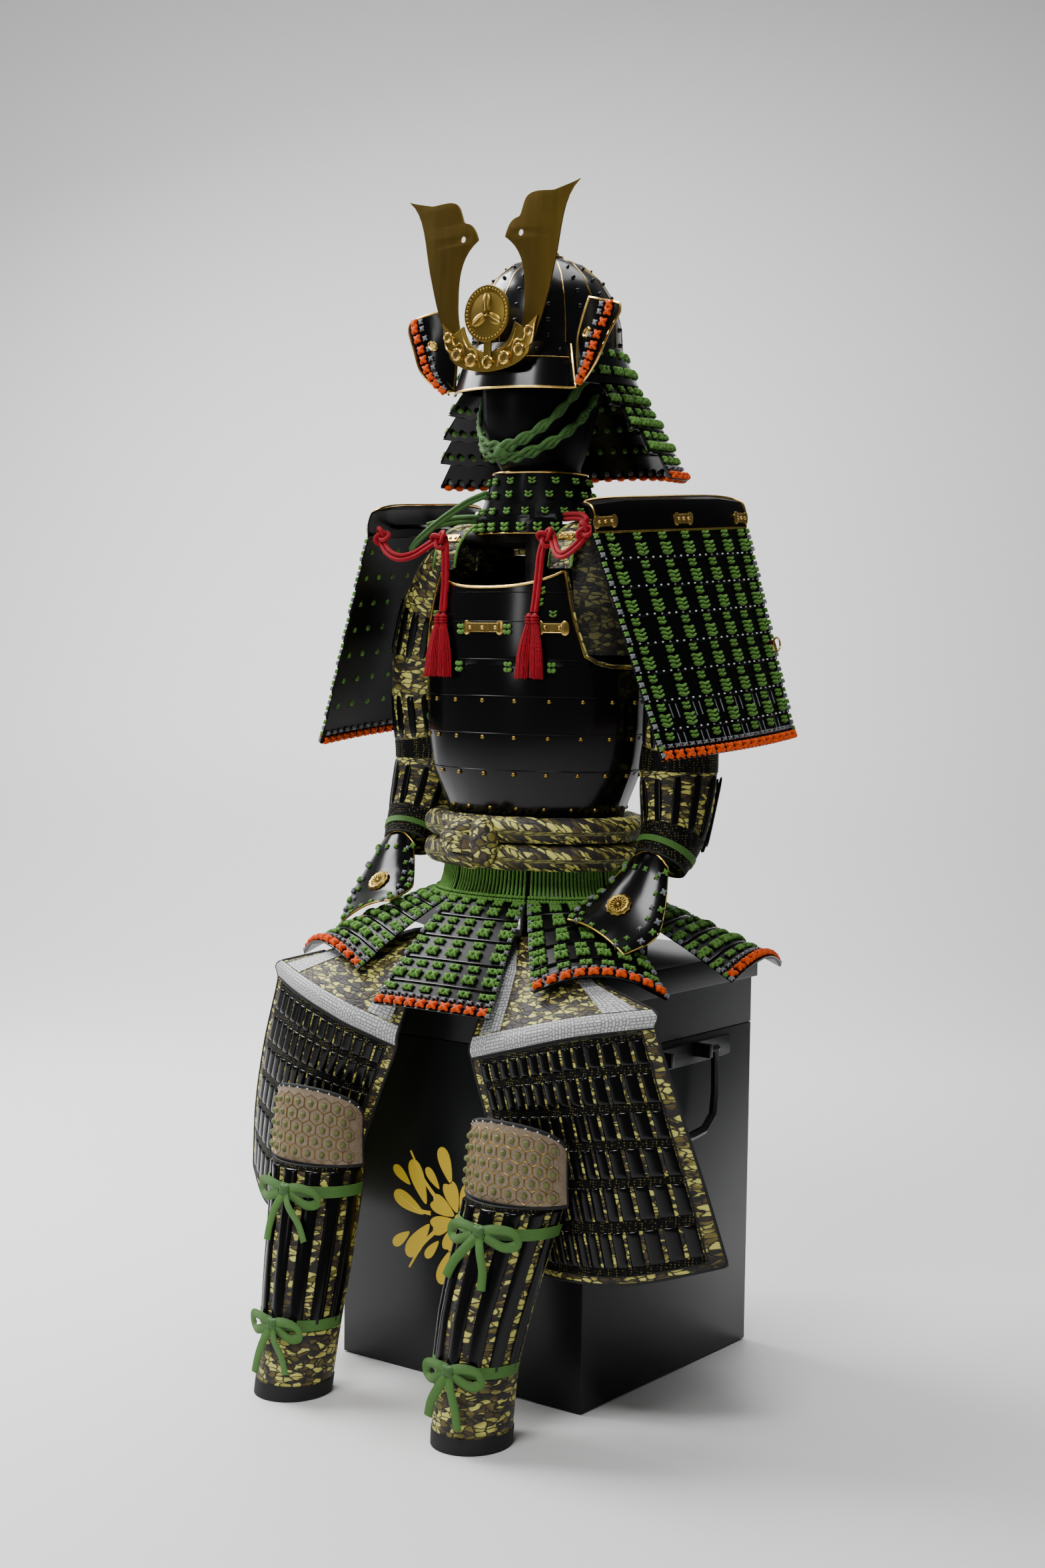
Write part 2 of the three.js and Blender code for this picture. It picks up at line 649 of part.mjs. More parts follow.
// Front plates: full half ring to the armholes, then the chest plate up to the neckline
function addCuirass() {
  const armhole = 944;
  const halfRing = 89.9;
  const columns = 14;
  const rows = [
    ...[751, ...PLATE_SEAMS, armhole].map((z) => ({ z, end: halfRing })),
    { z: 946, end: 62 },
    { z: 958, end: 52 },
    { z: 1002, end: 46 },
    { z: 1030, end: 44 },
  ];
  const grid = rows.map(({ z, end }) => steps(-end, end, columns).map((angle) => cuirassPoint(angle, z)));
  const topEnd = 42;
  grid.push(steps(-topEnd, topEnd, columns).map((angle) => (
    cuirassPoint(angle, 1048 + 22 * (Math.abs(angle) / topEnd) ** 2.5))));
  add('cuirass_front', wall(grid, 3, v3(0, BODY_Y, 900)), 'lacquer');

  const backRows = [
    { z: 751, end: halfRing }, { z: 807, end: halfRing }, { z: 870, end: halfRing },
    { z: 944, end: halfRing }, { z: 950, end: 64 },
    { z: 1002, end: 55 }, { z: 1050, end: 54 }, { z: 1096, end: 52 },
  ];
  const back = backRows.map(({ z, end }) => (
    steps(180 - end, 180 + end, 10).map((angle) => cuirassPoint(angle, z))));
  add('cuirass_back', wall(back, 2.6, v3(0, BODY_Y, 900)), 'lacquer');

  for (const side of SIDES) {
    const strap = STRAP.map((row) => [-1, 0, 1].map((across) => (
      sidePoint(side, STRAP_X + across * STRAP_HALF, row.y, row.z))));
    add(`shoulder_strap_${side.label}`, wall(strap, 3, v3(side.sign * STRAP_X, BODY_Y, 1040)), 'brocade');
  }
}

// Throat guard: a laced collar open at the back and a bib plate before the chest
function addThroatGuard() {
  const collar = [
    { z: 1138.6, a: 86, b: 72 }, { z: 1160, a: 76, b: 67 }, { z: 1200, a: 62, b: 61 },
  ].map((row) => steps(-140, 140, 10).map((angle) => oval(angle, row.a, row.b, BODY_Y, row.z)));
  const bib = [
    { z: 1118, a: 92, b: 74, end: 50 }, { z: 1139, a: 90, b: 72.5, end: 52 },
  ].map((row) => steps(-row.end, row.end, 5).map((angle) => oval(angle, row.a, row.b, BODY_Y, row.z)));
  const inside = v3(0, BODY_Y, 1150);
  const link = [
    { z: 1136, a: 90, b: 72.5 }, { z: 1143, a: 85.5, b: 71.5 },
  ].map((row) => steps(-46, 46, 4).map((angle) => oval(angle, row.a, row.b, BODY_Y, row.z)));
  add('throat_guard', joined(...[collar, bib, link].map((grid) => wall(grid, LAME, inside))), 'lacquer');
}

// Sash of two rolled strands and the fat knot in front

function sashRing(z, grow = 0) {
  const stand = SASH.depth * 0.9 + GAP + 0.5;
  const centres = Array.from({ length: SASH.sides }, (_, i) => (
    oval((i / SASH.sides) * 360, SASH.a + stand, SASH.b + stand, BODY_Y, z)));
  return ringTube(centres, 7, SASH.depth + grow, v3(0, 0, SASH.halfZ + grow));
}

function addSash() {
  add('sash_upper', sashRing(SASH.upperZ), 'brocade');
  add('sash_lower', sashRing(SASH.lowerZ), 'brocade');
  const middle = v3(-2, BODY_Y - SASH.b - 2 * SASH.depth + 2, 713);
  const lobes = [
    ball(middle.clone().add(v3(-24, 4, 16)), 32, 22, 20, 8, 5),
    ball(middle.clone().add(v3(-20, 4, -18)), 34, 22, 19, 8, 5),
    ball(middle.clone().add(v3(16, 0, 2)), 26, 24, 36, 8, 5),
  ];
  const knot = cutAway(joined(...lobes), sashRing(SASH.upperZ, 2 * GAP), sashRing(SASH.lowerZ, 2 * GAP),
    rod(v3(0, BODY_Y, 640), v3(0, BODY_Y, 780), SASH.b + SASH.depth - 2, 24));
  add('sash_knot', largestPiece(knot), 'brocade');
}

function largestPiece(geometry) {
  const pieces = toSolid(geometry).decompose();
  pieces.sort((p, q) => q.volume() - p.volume());
  return fromSolid(pieces[0]);
}

// Tassets: seven laced skirts, each from the waist to its lower edge

// Each tasset: its place in the ring of seven, the middle of its lower edge, half width there, the edge's
// direction in plan, and how far its corners fall and bend in
const TASSETS = [
  { name: 'front', turn: 0, x: 0, y: -274, z: 502, half: 95, tx: 1, ty: 0, drop: 3, bow: 9 },
  { name: 'front_left', turn: 1, x: 232, y: -214, z: 562, half: 84, tx: 0.93, ty: 0.38, drop: 26, bow: 10 },
  { name: 'side_left', turn: 2, x: 326, y: 20, z: 570, half: 84, tx: -0.16, ty: 0.99, drop: 22, bow: 10 },
  { name: 'back_left', turn: 3, x: 116, y: 186, z: 574, half: 86, tx: -0.97, ty: 0.24, drop: 10, bow: 8 },
];

function tassetGrid(piece) {
  const columns = 4;
  const top = (u, z, grow) => oval(piece.turn * TASSET.pitch + u * TASSET.halfAngle,
    SASH.a - CLOTH - 0.6 + grow, SASH.b - CLOTH - 0.6 + grow, BODY_Y, z);
  const low = (u) => {
    const bend = piece.bow * u * u;
    const inward = v3(-piece.x, BODY_Y - piece.y, 0).normalize();
    const reach = piece.half * u;
    const corner = v3(piece.x + piece.tx * reach, piece.y + piece.ty * reach, piece.z - piece.drop * u * u);
    return corner.addScaledVector(inward, bend);
  };
  const rows = [];
  const heights = [];
  for (const [z, grow] of [[TASSET.topZ, 0], [700, 0], [664, 1], [TASSET.bandZ + 8, 7]]) {
    rows.push(steps(-1, 1, columns).map((u) => top(u, z, grow)));
    heights.push(CLOTH);
  }
  for (let lame = 0; lame < TASSET.lames; lame += 1) {
    for (const part of [0.03, 0.97]) {
      const t = (lame + part) / TASSET.lames;
      const belly = TASSET.belly * Math.sin(Math.PI * t);
      rows.push(steps(-1, 1, columns).map((u) => (
        top(u, TASSET.bandZ, 14).lerp(low(u), t).add(v3(0, 0, belly)))));
      heights.push(part < 0.5 ? 1.4 : 3.6);
    }
  }
  return { rows, heights };
}

function addTassets() {
  for (const piece of TASSETS) {
    const { rows, heights } = tassetGrid(piece);
    const inside = v3(0, BODY_Y, 500);
    add(`tasset_${piece.name}`, wall(rows, (r) => heights[r], inside), 'lacquer');
    if (piece.name.endsWith('_left')) {
      const twin = piece.name.replace('_left', '_right');
      add(`tasset_${twin}`, wall(mirrored(rows), (r) => heights[r], inside), 'lacquer');
    }
  }
}

// Shoulder guards: a crown plate linked to the strap, and eight laced lames under it

function sodePoint(u, v) {
  const along = (from, to) => from.map((value, i) => lerp(value, to[i], u));
  const top = along(SODE.topFront, SODE.topBack);
  const low = along(SODE.lowFront, SODE.lowBack);
  const p = v3(...top.map((value, i) => lerp(value, low[i], v)));
  p.x += SODE.bow * (1 - (2 * u - 1) ** 2);
  return p;
}

function addShoulderGuard(side) {
  const columns = 5;
  const grid = [];
  const heights = [];
  for (let lame = 0; lame < SODE.lames; lame += 1) {
    for (const part of [0.03, 0.97]) {
      const v = (lame + part) / SODE.lames;
      grid.push(steps(0, 1, columns).map((u) => sodePoint(u, v)));
      heights.push(part < 0.5 ? 1.4 : 3.6);
    }
  }
  const inside = v3(0, BODY_Y, 900);
  add(`sode_${side.label}`, wall(onSide(side, grid), (r) => heights[r], inside), 'lacquer');

  const crown = [
    { v: -0.0005, rise: 0, lean: 0 },
    { v: -0.0005, rise: 0.6, lean: 0.05 },
    { v: -0.0005, rise: 0.9, lean: 0.35 },
    { v: -0.0005, rise: 1, lean: 1 },
  ].map((row) => steps(0, 1, columns).map((u) => {
    const p = sodePoint(u, row.v);
    const inward = row.lean * SODE.plateLean * (1 - 0.35 * (2 * u - 1) ** 6);
    return p.add(v3(-inward, 0, SODE.plateRise * row.rise - 6 * row.rise * (2 * u - 1) ** 6));
  }));
  const plate = wall(onSide(side, crown), LAME, inside);
  const front = sodePoint(0.03, 0);
  const [ringX, ringY, ringZ] = CORD_ROUTE[0];
  const ring = rod(
    sidePoint(side, front.x + 1.2, front.y, front.z + 5),
    sidePoint(side, ringX + 6, ringY, ringZ), 2.5, 6);
  const cords = [0.32, 0.74].map((u) => {
    const p = sodePoint(u, 0);
    const edge = STRAP_X + STRAP_HALF + GAP + 0.6;
    const path = [
      sidePoint(side, p.x + 1.5, p.y, p.z + 14),
      sidePoint(side, (p.x + edge) / 2 + 10, p.y, p.z + 14),
      sidePoint(side, edge, p.y, rowAt(STRAP, 'y', p.y).z + 1.5),
    ];
    return tube(path, 3.2, 3.2, 5, 4);
  });
  add(`sode_plate_${side.label}`, joined(plate, ring, ...cords), 'lacquer');
}

// Sleeves with raised splints, and hand guards

function sleeveRing(row, axis, count, side) {
  const wide = v3(0, 0, 0).crossVectors(v3(0, 1, 0), axis).normalize();
  const deep = v3(0, 0, 0).crossVectors(axis, wide);
  return Array.from({ length: count }, (_, i) => {
    const turn = (i / count) * Math.PI * 2;
    const p = v3(row.x, row.y, row.z)
      .addScaledVector(wide, row.r * Math.cos(turn))
      .addScaledVector(deep, row.r * Math.sin(turn));
    return v3(p.x * side.sign, p.y, p.z);
  });
}

function addSleeve(side) {
  const count = 14;
  const rows = steps(0, SLEEVE.length - 1, 9).map((at) => {
    const here = blendRows(SLEEVE, at);
    const ahead = blendRows(SLEEVE, Math.min(at + 0.2, SLEEVE.length - 1));
    const behind = blendRows(SLEEVE, Math.max(at - 0.2, 0));
    const axis = v3(ahead.x - behind.x, ahead.y - behind.y, ahead.z - behind.z).normalize();
    return sleeveRing(here, axis, count, side);
  });
  const outer = rows.map((ring, r) => {
    const middle = ring.reduce((sum, p) => sum.add(p), v3(0, 0, 0)).divideScalar(count);
    return ring.map((p, c) => {
      const splint = r > 5 && r < 10 && c % 2 === 0 ? 1.8 : 0;
      return p.clone().addScaledVector(p.clone().sub(middle).normalize(), CLOTH + splint);
    });
  });
  const edge = STRAP_X + STRAP_HALF + GAP + 0.4;
  const tie = tube([
    sidePoint(side, edge, -44, 1137.4), sidePoint(side, 125, -44, 1137), sidePoint(side, 141.8, -44, 1116.5),
  ], 2.4, 2.4, 5, 3);
  add(`sleeve_${side.label}`, joined(wallBetween(rows, outer, true), tie), 'brocade');

  const hand = steps(0, HAND.length - 1, 5).map((at) => {
    const row = blendRows(HAND, at);
    return steps(-1, 1, 6).map((u) => (
      v3(row.x + u * row.half, row.y, row.z - row.droop * u * u - row.tilt * u)));
  });
  add(`hand_guard_${side.label}`, wall(onSide(side, hand), LAME, sidePoint(side, 200, -60, 560)), 'lacquer');
}

// Thigh guards: cloth over the box's front edge with six rows of raised splints

function thighPoint(u, at) {
  const blendAcross = (row) => {
    const across = u * 3;
    const i = Math.min(Math.floor(across), 2);
    return ['xs', 'ys', 'zs'].map((key) => {
      const table = row[key].map((value) => ({ value }));
      return blendRows(table, i + (across - i)).value;
    });
  };
  const columns = THIGH_ROWS.map((row) => {
    const [x, y, z] = blendAcross(row);
    return { x, y, z };
  });
  const straight = at < 2.02;
  const p = straight ? blendLinear(columns, at) : blendRows(columns, at);
  return v3(p.x, p.y, p.z);
}

function addThighGuard(side) {
  const columns = THIGH_SPLINTS * 2;
  const ats = [0, 1, 2, 3];
  const raised = [0, 0, 0, 0];
  const first = 3.05;
  const last = 5.82;
  for (let lame = 0; lame < THIGH_LAMES; lame += 1) {
    const pitch = (last - first) / THIGH_LAMES;
    ats.push(first + pitch * lame + 0.02, first + pitch * (lame + 1) - 0.08);
    raised.push(0, 1);
  }
  ats.push(last, 6);
  raised.push(0, 0);
  const grid = ats.map((at) => steps(0, 1, columns).map((u) => thighPoint(u, at)));
  const height = (r, c) => CLOTH + (raised[r] && c % 2 ? 2.6 : 0);
  add(`thigh_guard_${side.label}`, wall(onSide(side, grid), height, sidePoint(side, 150, 0, 300)), 'brocade');
}

// Shin guards standing on the floor, knee plates and ribbon ties

function shinPoint(side, row, angle, offset) {
  const p = oval(angle, row.a + offset, row.b + offset, row.y, row.z, row.x);
  return sidePoint(side, p.x, p.y, p.z);
}

function addShinGuard(side) {
  const ats = [0, 0.3, 1, 1.6, 2.3, 3, 3.6, 4];
  const grid = ats.map((at) => {
    const row = blendRows(SHIN, at);
    return steps(-row.open, row.open, 12).map((angle) => shinPoint(side, row, angle, 0));
  });
  const splint = (r, c) => CLOTH + (r > 2 && r < 7 && c % 2 ? 2.2 : 0);
  const middle = sidePoint(side, 150, -325, 150);
  add(`shin_guard_${side.label}`, wall(grid, splint, middle), 'lacquer');

  const knee = steps(0, 1, 4).map((t) => steps(-KNEE.spread, KNEE.spread, 10).map((angle) => {
    const arch = Math.cos(degToRad(angle * 90 / KNEE.spread));
    const top = lerp(KNEE.sideZ, KNEE.topZ, Math.sqrt(Math.max(arch, 0)));
    const z = lerp(KNEE.lowZ, top, t);
    const back = KNEE.lean * ((z - KNEE.lowZ) / 100) ** 2;
    const p = oval(angle, KNEE.a - 5 * t, KNEE.b + 2, KNEE.y + back * 0.2, z, KNEE.x);
    return sidePoint(side, p.x, p.y, p.z);
  }));
  add(`knee_plate_${side.label}`, wall(knee, 3, sidePoint(side, KNEE.x, -250, 330)), 'leather');

  for (const tie of TIES) {
    add(`shin_tie_${tie.name}_${side.label}`, tieGeometry(tie, side), 'lacing');
  }
}

// Ribbon round the shin with a bow of two loops and two tails in front
function tieGeometry(tie, side) {
  const at = (z, angle, offset) => shinPoint(side, rowAt(SHIN, 'z', z), angle, offset);
  const band = [-7, 7].map((dz) => steps(-100, 100, 8).map((angle) => at(tie.z + dz, angle, tie.proud)));
  const ring = wall(band, 1.6, at(tie.z, 180, -50));
  const knot = ball(at(tie.z, 0, tie.proud + 5), 10, 5.5, 9, 6, 3);
  const arms = [[-24, -5], [26, -8], [-12, -50], [9, -56]].map(([swing, fall]) => tube([
    at(tie.z, 0, tie.proud + 5),
    at(tie.z + 4 + fall * 0.3, swing * 1.1, tie.proud + 8),
    at(tie.z + fall, swing * 2, tie.proud + 6),
  ], 1.8, 4.4, 4, 2));
  return joined(ring, knot, ...arms);
}

// Crimson cords from the shoulder guards over the chest to their tassels

function addChestCord(side) {
  const path = CORD_ROUTE.map(([x, y, z]) => sidePoint(side, x, y, z));
  add(`chest_cord_${side.label}`, tube(path, CORD.thick, CORD.half, 8, 18), 'crimson');
  const [x, y, z] = CORD_ROUTE[CORD_ROUTE.length - 1];
  const head = ball(sidePoint(side, x, y - 4, z - 7), 10, 5.5, 7.4, 8, 4);
  const strands = [];
  for (const twin of [-1, 1]) {
    for (let i = 0; i < 4; i += 1) {
      const turn = (i / 4) * Math.PI * 2;
      const [out, deep] = [Math.cos(turn), Math.sin(turn)];
      const from = sidePoint(side, x + twin * 4 + 2.5 * out, y - 4 + 1.6 * deep, z - 10);
      const to = sidePoint(side, x + twin * 11 + 7.5 * out, y - 9.5 + 3.2 * deep, z - 88);
      strands.push(rod(from, to, 2.1, 4));
    }
  }
  add(`tassel_${side.label}`, joined(head, ...strands), 'crimson');
}

addBox();
addStand();
addHelmet();
addCuirass();
addThroatGuard();
addSash();
addTassets();
for (const side of SIDES) {
  addShoulderGuard(side);
  addSleeve(side);
  addThighGuard(side);
  addShinGuard(side);
  addChestCord(side);
}

export default armour;
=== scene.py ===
"""Looks of the seated samurai armour: camera, cords, cloth, lacing, fittings and finishes.

Sizes are in millimetres in the row frame until a mesh is built, and in metres after that.
"""

import json
import logging
import math
import time
from dataclasses import dataclass
from enum import Enum
from typing import Callable, Iterable, Optional, Sequence

import bpy
import numpy as np
from mathutils import Matrix, Vector

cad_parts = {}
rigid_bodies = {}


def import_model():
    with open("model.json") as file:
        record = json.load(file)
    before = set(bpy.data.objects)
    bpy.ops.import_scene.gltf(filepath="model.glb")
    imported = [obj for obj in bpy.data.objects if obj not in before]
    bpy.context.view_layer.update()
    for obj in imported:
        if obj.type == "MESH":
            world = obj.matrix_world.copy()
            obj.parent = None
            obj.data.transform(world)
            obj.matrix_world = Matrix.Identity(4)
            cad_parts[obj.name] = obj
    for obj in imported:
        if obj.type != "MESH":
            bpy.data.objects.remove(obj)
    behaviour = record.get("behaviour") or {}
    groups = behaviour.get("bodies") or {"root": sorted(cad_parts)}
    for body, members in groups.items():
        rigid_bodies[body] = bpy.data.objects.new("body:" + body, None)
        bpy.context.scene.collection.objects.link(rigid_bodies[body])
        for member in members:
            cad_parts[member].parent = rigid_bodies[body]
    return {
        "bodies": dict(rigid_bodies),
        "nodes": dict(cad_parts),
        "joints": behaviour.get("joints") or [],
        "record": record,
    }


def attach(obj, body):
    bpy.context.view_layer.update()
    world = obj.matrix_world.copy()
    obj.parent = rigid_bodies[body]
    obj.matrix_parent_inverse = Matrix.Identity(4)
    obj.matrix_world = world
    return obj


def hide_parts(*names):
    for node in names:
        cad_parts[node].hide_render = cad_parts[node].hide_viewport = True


Array = np.ndarray
Point = tuple[float, float, float]
LOG = logging.getLogger("armour")
START = time.perf_counter()
MM = 0.001
# Y of the middle of the body and of the helmet, in mm.
BODY_Y = -45.0
HELM_Y = -34.0
# Angles in degrees: faces that meet at less are shaded smooth, edges that are sharper get a bevel.
SMOOTH_BELOW = 38
BEVEL_ABOVE = 50
# Columns and rows of half a raised splint's section, as shares of its half width.
SPLINT_SHARES = (-1, -0.92, -0.7, -0.36, 0, 0.36, 0.7, 0.92, 1)


# Finishes


class Surface(Enum):
    """The kinds of surface a finish can have."""

    PLAIN = "plain"
    SILK = "silk"
    BROCADE = "brocade"
    FRET = "fret"
    MAIL = "mail"
    GRAIN = "grain"
    BRUSHED = "brushed"
    RIBBED = "ribbed"


@dataclass(frozen=True)
class Finish:
    """One finish of the object.

    Args:
        name: the material's name.
        colour: base colour, linear red, green and blue.
        rough: roughness.
        metal: metallic share.
        coat: clear coat weight.
        kind: the surface's pattern.
        dark: second colour of a pattern.
        size: repeats of the pattern in a metre.
        relief: height of the pattern in metres.
        shine: specular level.
    """

    name: str
    colour: Point
    rough: float = 0.5
    metal: float = 0.0
    coat: float = 0.0
    kind: Surface = Surface.PLAIN
    dark: Point = (0.0, 0.0, 0.0)
    size: float = 400.0
    relief: float = 0.0003
    shine: float = 0.5

    def material(self) -> bpy.types.Material:
        """Makes the finish's material on first use.

        Returns:
            The material.
        """
        found = bpy.data.materials.get(self.name)
        if found:
            return found
        made = bpy.data.materials.new(self.name)
        made.use_nodes = True
        shader = made.node_tree.nodes["Principled BSDF"]
        shader.inputs["Base Color"].default_value = (*self.colour, 1)
        shader.inputs["Roughness"].default_value = self.rough
        shader.inputs["Metallic"].default_value = self.metal
        shader.inputs["Coat Weight"].default_value = self.coat
        shader.inputs["Coat Roughness"].default_value = 0.08
        shader.inputs["Specular IOR Level"].default_value = self.shine
        if self.kind in (Surface.SILK, Surface.BROCADE, Surface.FRET):
            shader.inputs["Sheen Weight"].default_value = 0.04
        if self.kind is not Surface.PLAIN:
            Pattern(made.node_tree, self, shader).draw()
        return made


@dataclass(frozen=True)
class Weave:
    """A pattern of one texture.

    Args:
        texture: type name of the texture's node.
        stops: values at which the two colours stand.
        settings: the node's sockets and settings.
        output: the node's output that is read.
        by_uv: True on the piece's own UV, False on its object space.
        stretch: scale of the coordinates.
        dark_high: True if the dark colour stands at the higher value.
    """

    texture: str
    stops: tuple[float, float]
    settings: dict[str, object]
    output: str = "Fac"
    by_uv: bool = False
    stretch: Point = (1, 1, 1)
    dark_high: bool = False


# Slanting silk threads with painted shade in the grooves between them, leather or timber, worn gilt, ribbon with ribs
# along it, and mail rings.
WEAVES = {
    Surface.SILK: Weave("ShaderNodeTexWave", (0.1, 0.7), {"Distortion": 3.0, "Detail": 1.0},
                        stretch=(1, 1, 0.6)),
    Surface.GRAIN: Weave("ShaderNodeTexNoise", (0.35, 0.65), {"Detail": 6.0}),
    Surface.BRUSHED: Weave("ShaderNodeTexNoise", (0.3, 0.7), {"Detail": 3.0}, stretch=(1, 1, 0.15)),
    Surface.RIBBED: Weave("ShaderNodeTexWave", (0.2, 0.7), {"bands_direction": "Y"}, by_uv=True),
    Surface.MAIL: Weave("ShaderNodeTexVoronoi", (0.14, 0.34), {"Randomness": 0.35}, "Distance",
                        dark_high=True),
}


class Pattern:
    """Draws a finish's procedural pattern in its node tree."""

    def __init__(self, tree: bpy.types.NodeTree, finish: Finish, shader: bpy.types.Node) -> None:
        """Keeps what the pattern is drawn in.

        Args:
            tree: the material's node tree.
            finish: the finish.
            shader: the node that the pattern feeds.
        """
        self.tree = tree
        self.finish = finish
        self.shader = shader

    def node(self, kind: str, **values: object) -> bpy.types.Node:
        """Adds a node.

        Args:
            kind: its type's name.
            values: socket values by socket name, with underscores for spaces, or node settings.

        Returns:
            The node.
        """
        made = self.tree.nodes.new(kind)
        for key, value in values.items():
            socket = made.inputs.get(key.replace("_", " "))
            if socket is not None:
                socket.default_value = value
            else:
                setattr(made, key, value)
        return made

    def link(self, start: bpy.types.NodeSocket, end: bpy.types.NodeSocket) -> None:
        """Joins two sockets."""
        self.tree.links.new(start, end)

    def place(self, by_uv: bool, stretch: Point = (1, 1, 1)) -> bpy.types.NodeSocket:
        """Adds the pattern's coordinates.

        Args:
            by_uv: True on the piece's own UV, False on its object space.
            stretch: their scale.

        Returns:
            The coordinates' socket.
        """
        source = self.node("ShaderNodeTexCoord")
        mapping = self.node("ShaderNodeMapping", Scale=stretch)
        self.link(source.outputs["UV" if by_uv else "Object"], mapping.inputs["Vector"])
        return mapping.outputs["Vector"]

    def ramp(self, value: bpy.types.NodeSocket, stops: Sequence[tuple[float,
                                                                      tuple]]) -> bpy.types.NodeSocket:
        """Adds a colour ramp.

        Args:
            value: the socket that drives it.
            stops: places and their colours.

        Returns:
            The colour's socket.
        """
        made = self.node("ShaderNodeValToRGB")
        bar = made.color_ramp
        while len(bar.elements) < len(stops):
            bar.elements.new(0.5)
        for element, (at, colour) in zip(bar.elements, stops):
            element.position = at
            element.color = (*colour, 1)
        self.link(value, made.inputs["Fac"])
        return made.outputs["Color"]

    def bump(self, height: bpy.types.NodeSocket, depth: Optional[float] = None) -> None:
        """Feeds a height into the shader's normal.

        Args:
            height: the height's socket.
            depth: its depth in metres, by default the finish's relief.
        """
        made = self.node("ShaderNodeBump", Strength=0.8, Distance=depth or self.finish.relief)
        self.link(height, made.inputs["Height"])
        self.link(made.outputs["Normal"], self.shader.inputs["Normal"])

    def paint(self, colour: bpy.types.NodeSocket, height: bpy.types.NodeSocket) -> None:
        """Feeds a colour and a height into the shader."""
        self.link(colour, self.shader.inputs["Base Color"])
        self.bump(height)

    def draw(self) -> None:
        """Draws the finish's pattern."""
        weave = WEAVES.get(self.finish.kind)
        if weave:
            self.simple(weave)
        elif self.finish.kind is Surface.BROCADE:
            self.brocade()
        else:
            self.fret()

    def simple(self, weave: Weave) -> None:
        """Draws a pattern of one texture between the finish's two colours.

        Args:
            weave: the pattern.
        """
        texture = self.node(weave.texture, Scale=self.finish.size, **weave.settings)
        self.link(self.place(weave.by_uv, weave.stretch), texture.inputs["Vector"])
        height = texture.outputs[weave.output]
        colours = (self.finish.dark, self.finish.colour)
        if weave.dark_high:
            colours = colours[::-1]
        self.paint(self.ramp(height, list(zip(weave.stops, colours))), height)

    def brocade(self) -> None:
        """Brocade of small leaves, dark between them, on the piece's UV in metres."""
        f = self.finish
        at = self.place(True, (0.85, 1.7, 1.0))
        warp = self.node("ShaderNodeTexNoise", Scale=70.0, Detail=1.0)
        self.link(at, warp.inputs["Vector"])
        moved = self.node("ShaderNodeMix", data_type="VECTOR")
        moved.inputs["Factor"].default_value = 0.012
        self.link(at, moved.inputs[4])
        self.link(warp.outputs["Color"], moved.inputs[5])
        cells = self.node("ShaderNodeTexVoronoi", Scale=f.size)
        edges = self.node("ShaderNodeTexVoronoi", Scale=f.size, feature="DISTANCE_TO_EDGE")
        for cell in (cells, edges):
            self.link(moved.outputs[1], cell.inputs["Vector"])
        shade = self.node("ShaderNodeSeparateColor")
        self.link(cells.outputs["Color"], shade.inputs["Color"])
        patches = self.node("ShaderNodeTexNoise", Scale=34.0, Detail=1.5)
        self.link(at, patches.inputs["Vector"])
        both = self.node("ShaderNodeMath", operation="MULTIPLY_ADD")
        both.inputs[1].default_value = 0.8
        self.link(shade.outputs["Red"], both.inputs[0])
        spread = self.node("ShaderNodeMath", operation="MULTIPLY_ADD")
        spread.inputs[1].default_value = 0.9
        spread.inputs[2].default_value = -0.32
        self.link(patches.outputs["Fac"], spread.inputs[0])
        self.link(spread.outputs["Value"], both.inputs[2])
        levels = ((0.22, (0.015, 0.01, 0.02)), (0.36, (0.11, 0.07, 0.06)), (0.52, (0.28, 0.25, 0.15)),
                  (0.66, (1, 1, 1)))
        leaf = self.ramp(both.outputs["Value"], [(stop, tuple(a * b for a, b in zip(share, f.colour)))
                                                 for stop, share in levels])
        line = self.ramp(edges.outputs["Distance"], [(0.04, (0, 0, 0)), (0.15, (1, 1, 1))])
        mixed = self.node("ShaderNodeMix", data_type="RGBA")
        self.link(line, mixed.inputs["Factor"])
        mixed.inputs[6].default_value = (*f.dark, 1)
        self.link(leaf, mixed.inputs[7])
        self.paint(mixed.outputs[2], line)

    def fret(self) -> None:
        """Silvery brocade of an angular fret."""
        f = self.finish
        plain = self.place(True)
        turned = self.node("ShaderNodeMapping", Rotation=(0.0, 0.0, math.radians(90)))
        checks = self.node("ShaderNodeTexChecker", Scale=f.size * 0.5)
        swap = self.node("ShaderNodeMix", data_type="VECTOR")
        self.link(plain, turned.inputs["Vector"])
        self.link(plain, checks.inputs["Vector"])
        self.link(checks.outputs["Fac"], swap.inputs["Factor"])
        self.link(plain, swap.inputs[4])
        self.link(turned.outputs["Vector"], swap.inputs[5])
        bricks = self.node("ShaderNodeTexBrick", Scale=f.size, offset=0.5, squash=0.55, squash_frequency=2)
        bricks.inputs["Color1"].default_value = (*f.colour, 1)
        bricks.inputs["Color2"].default_value = (*[c * 0.8 for c in f.colour], 1)
        bricks.inputs["Mortar"].default_value = (*f.dark, 1)
        bricks.inputs["Mortar Size"].default_value = 0.045
        self.link(swap.outputs[1], bricks.inputs["Vector"])
        self.paint(bricks.outputs["Color"], bricks.outputs["Fac"])


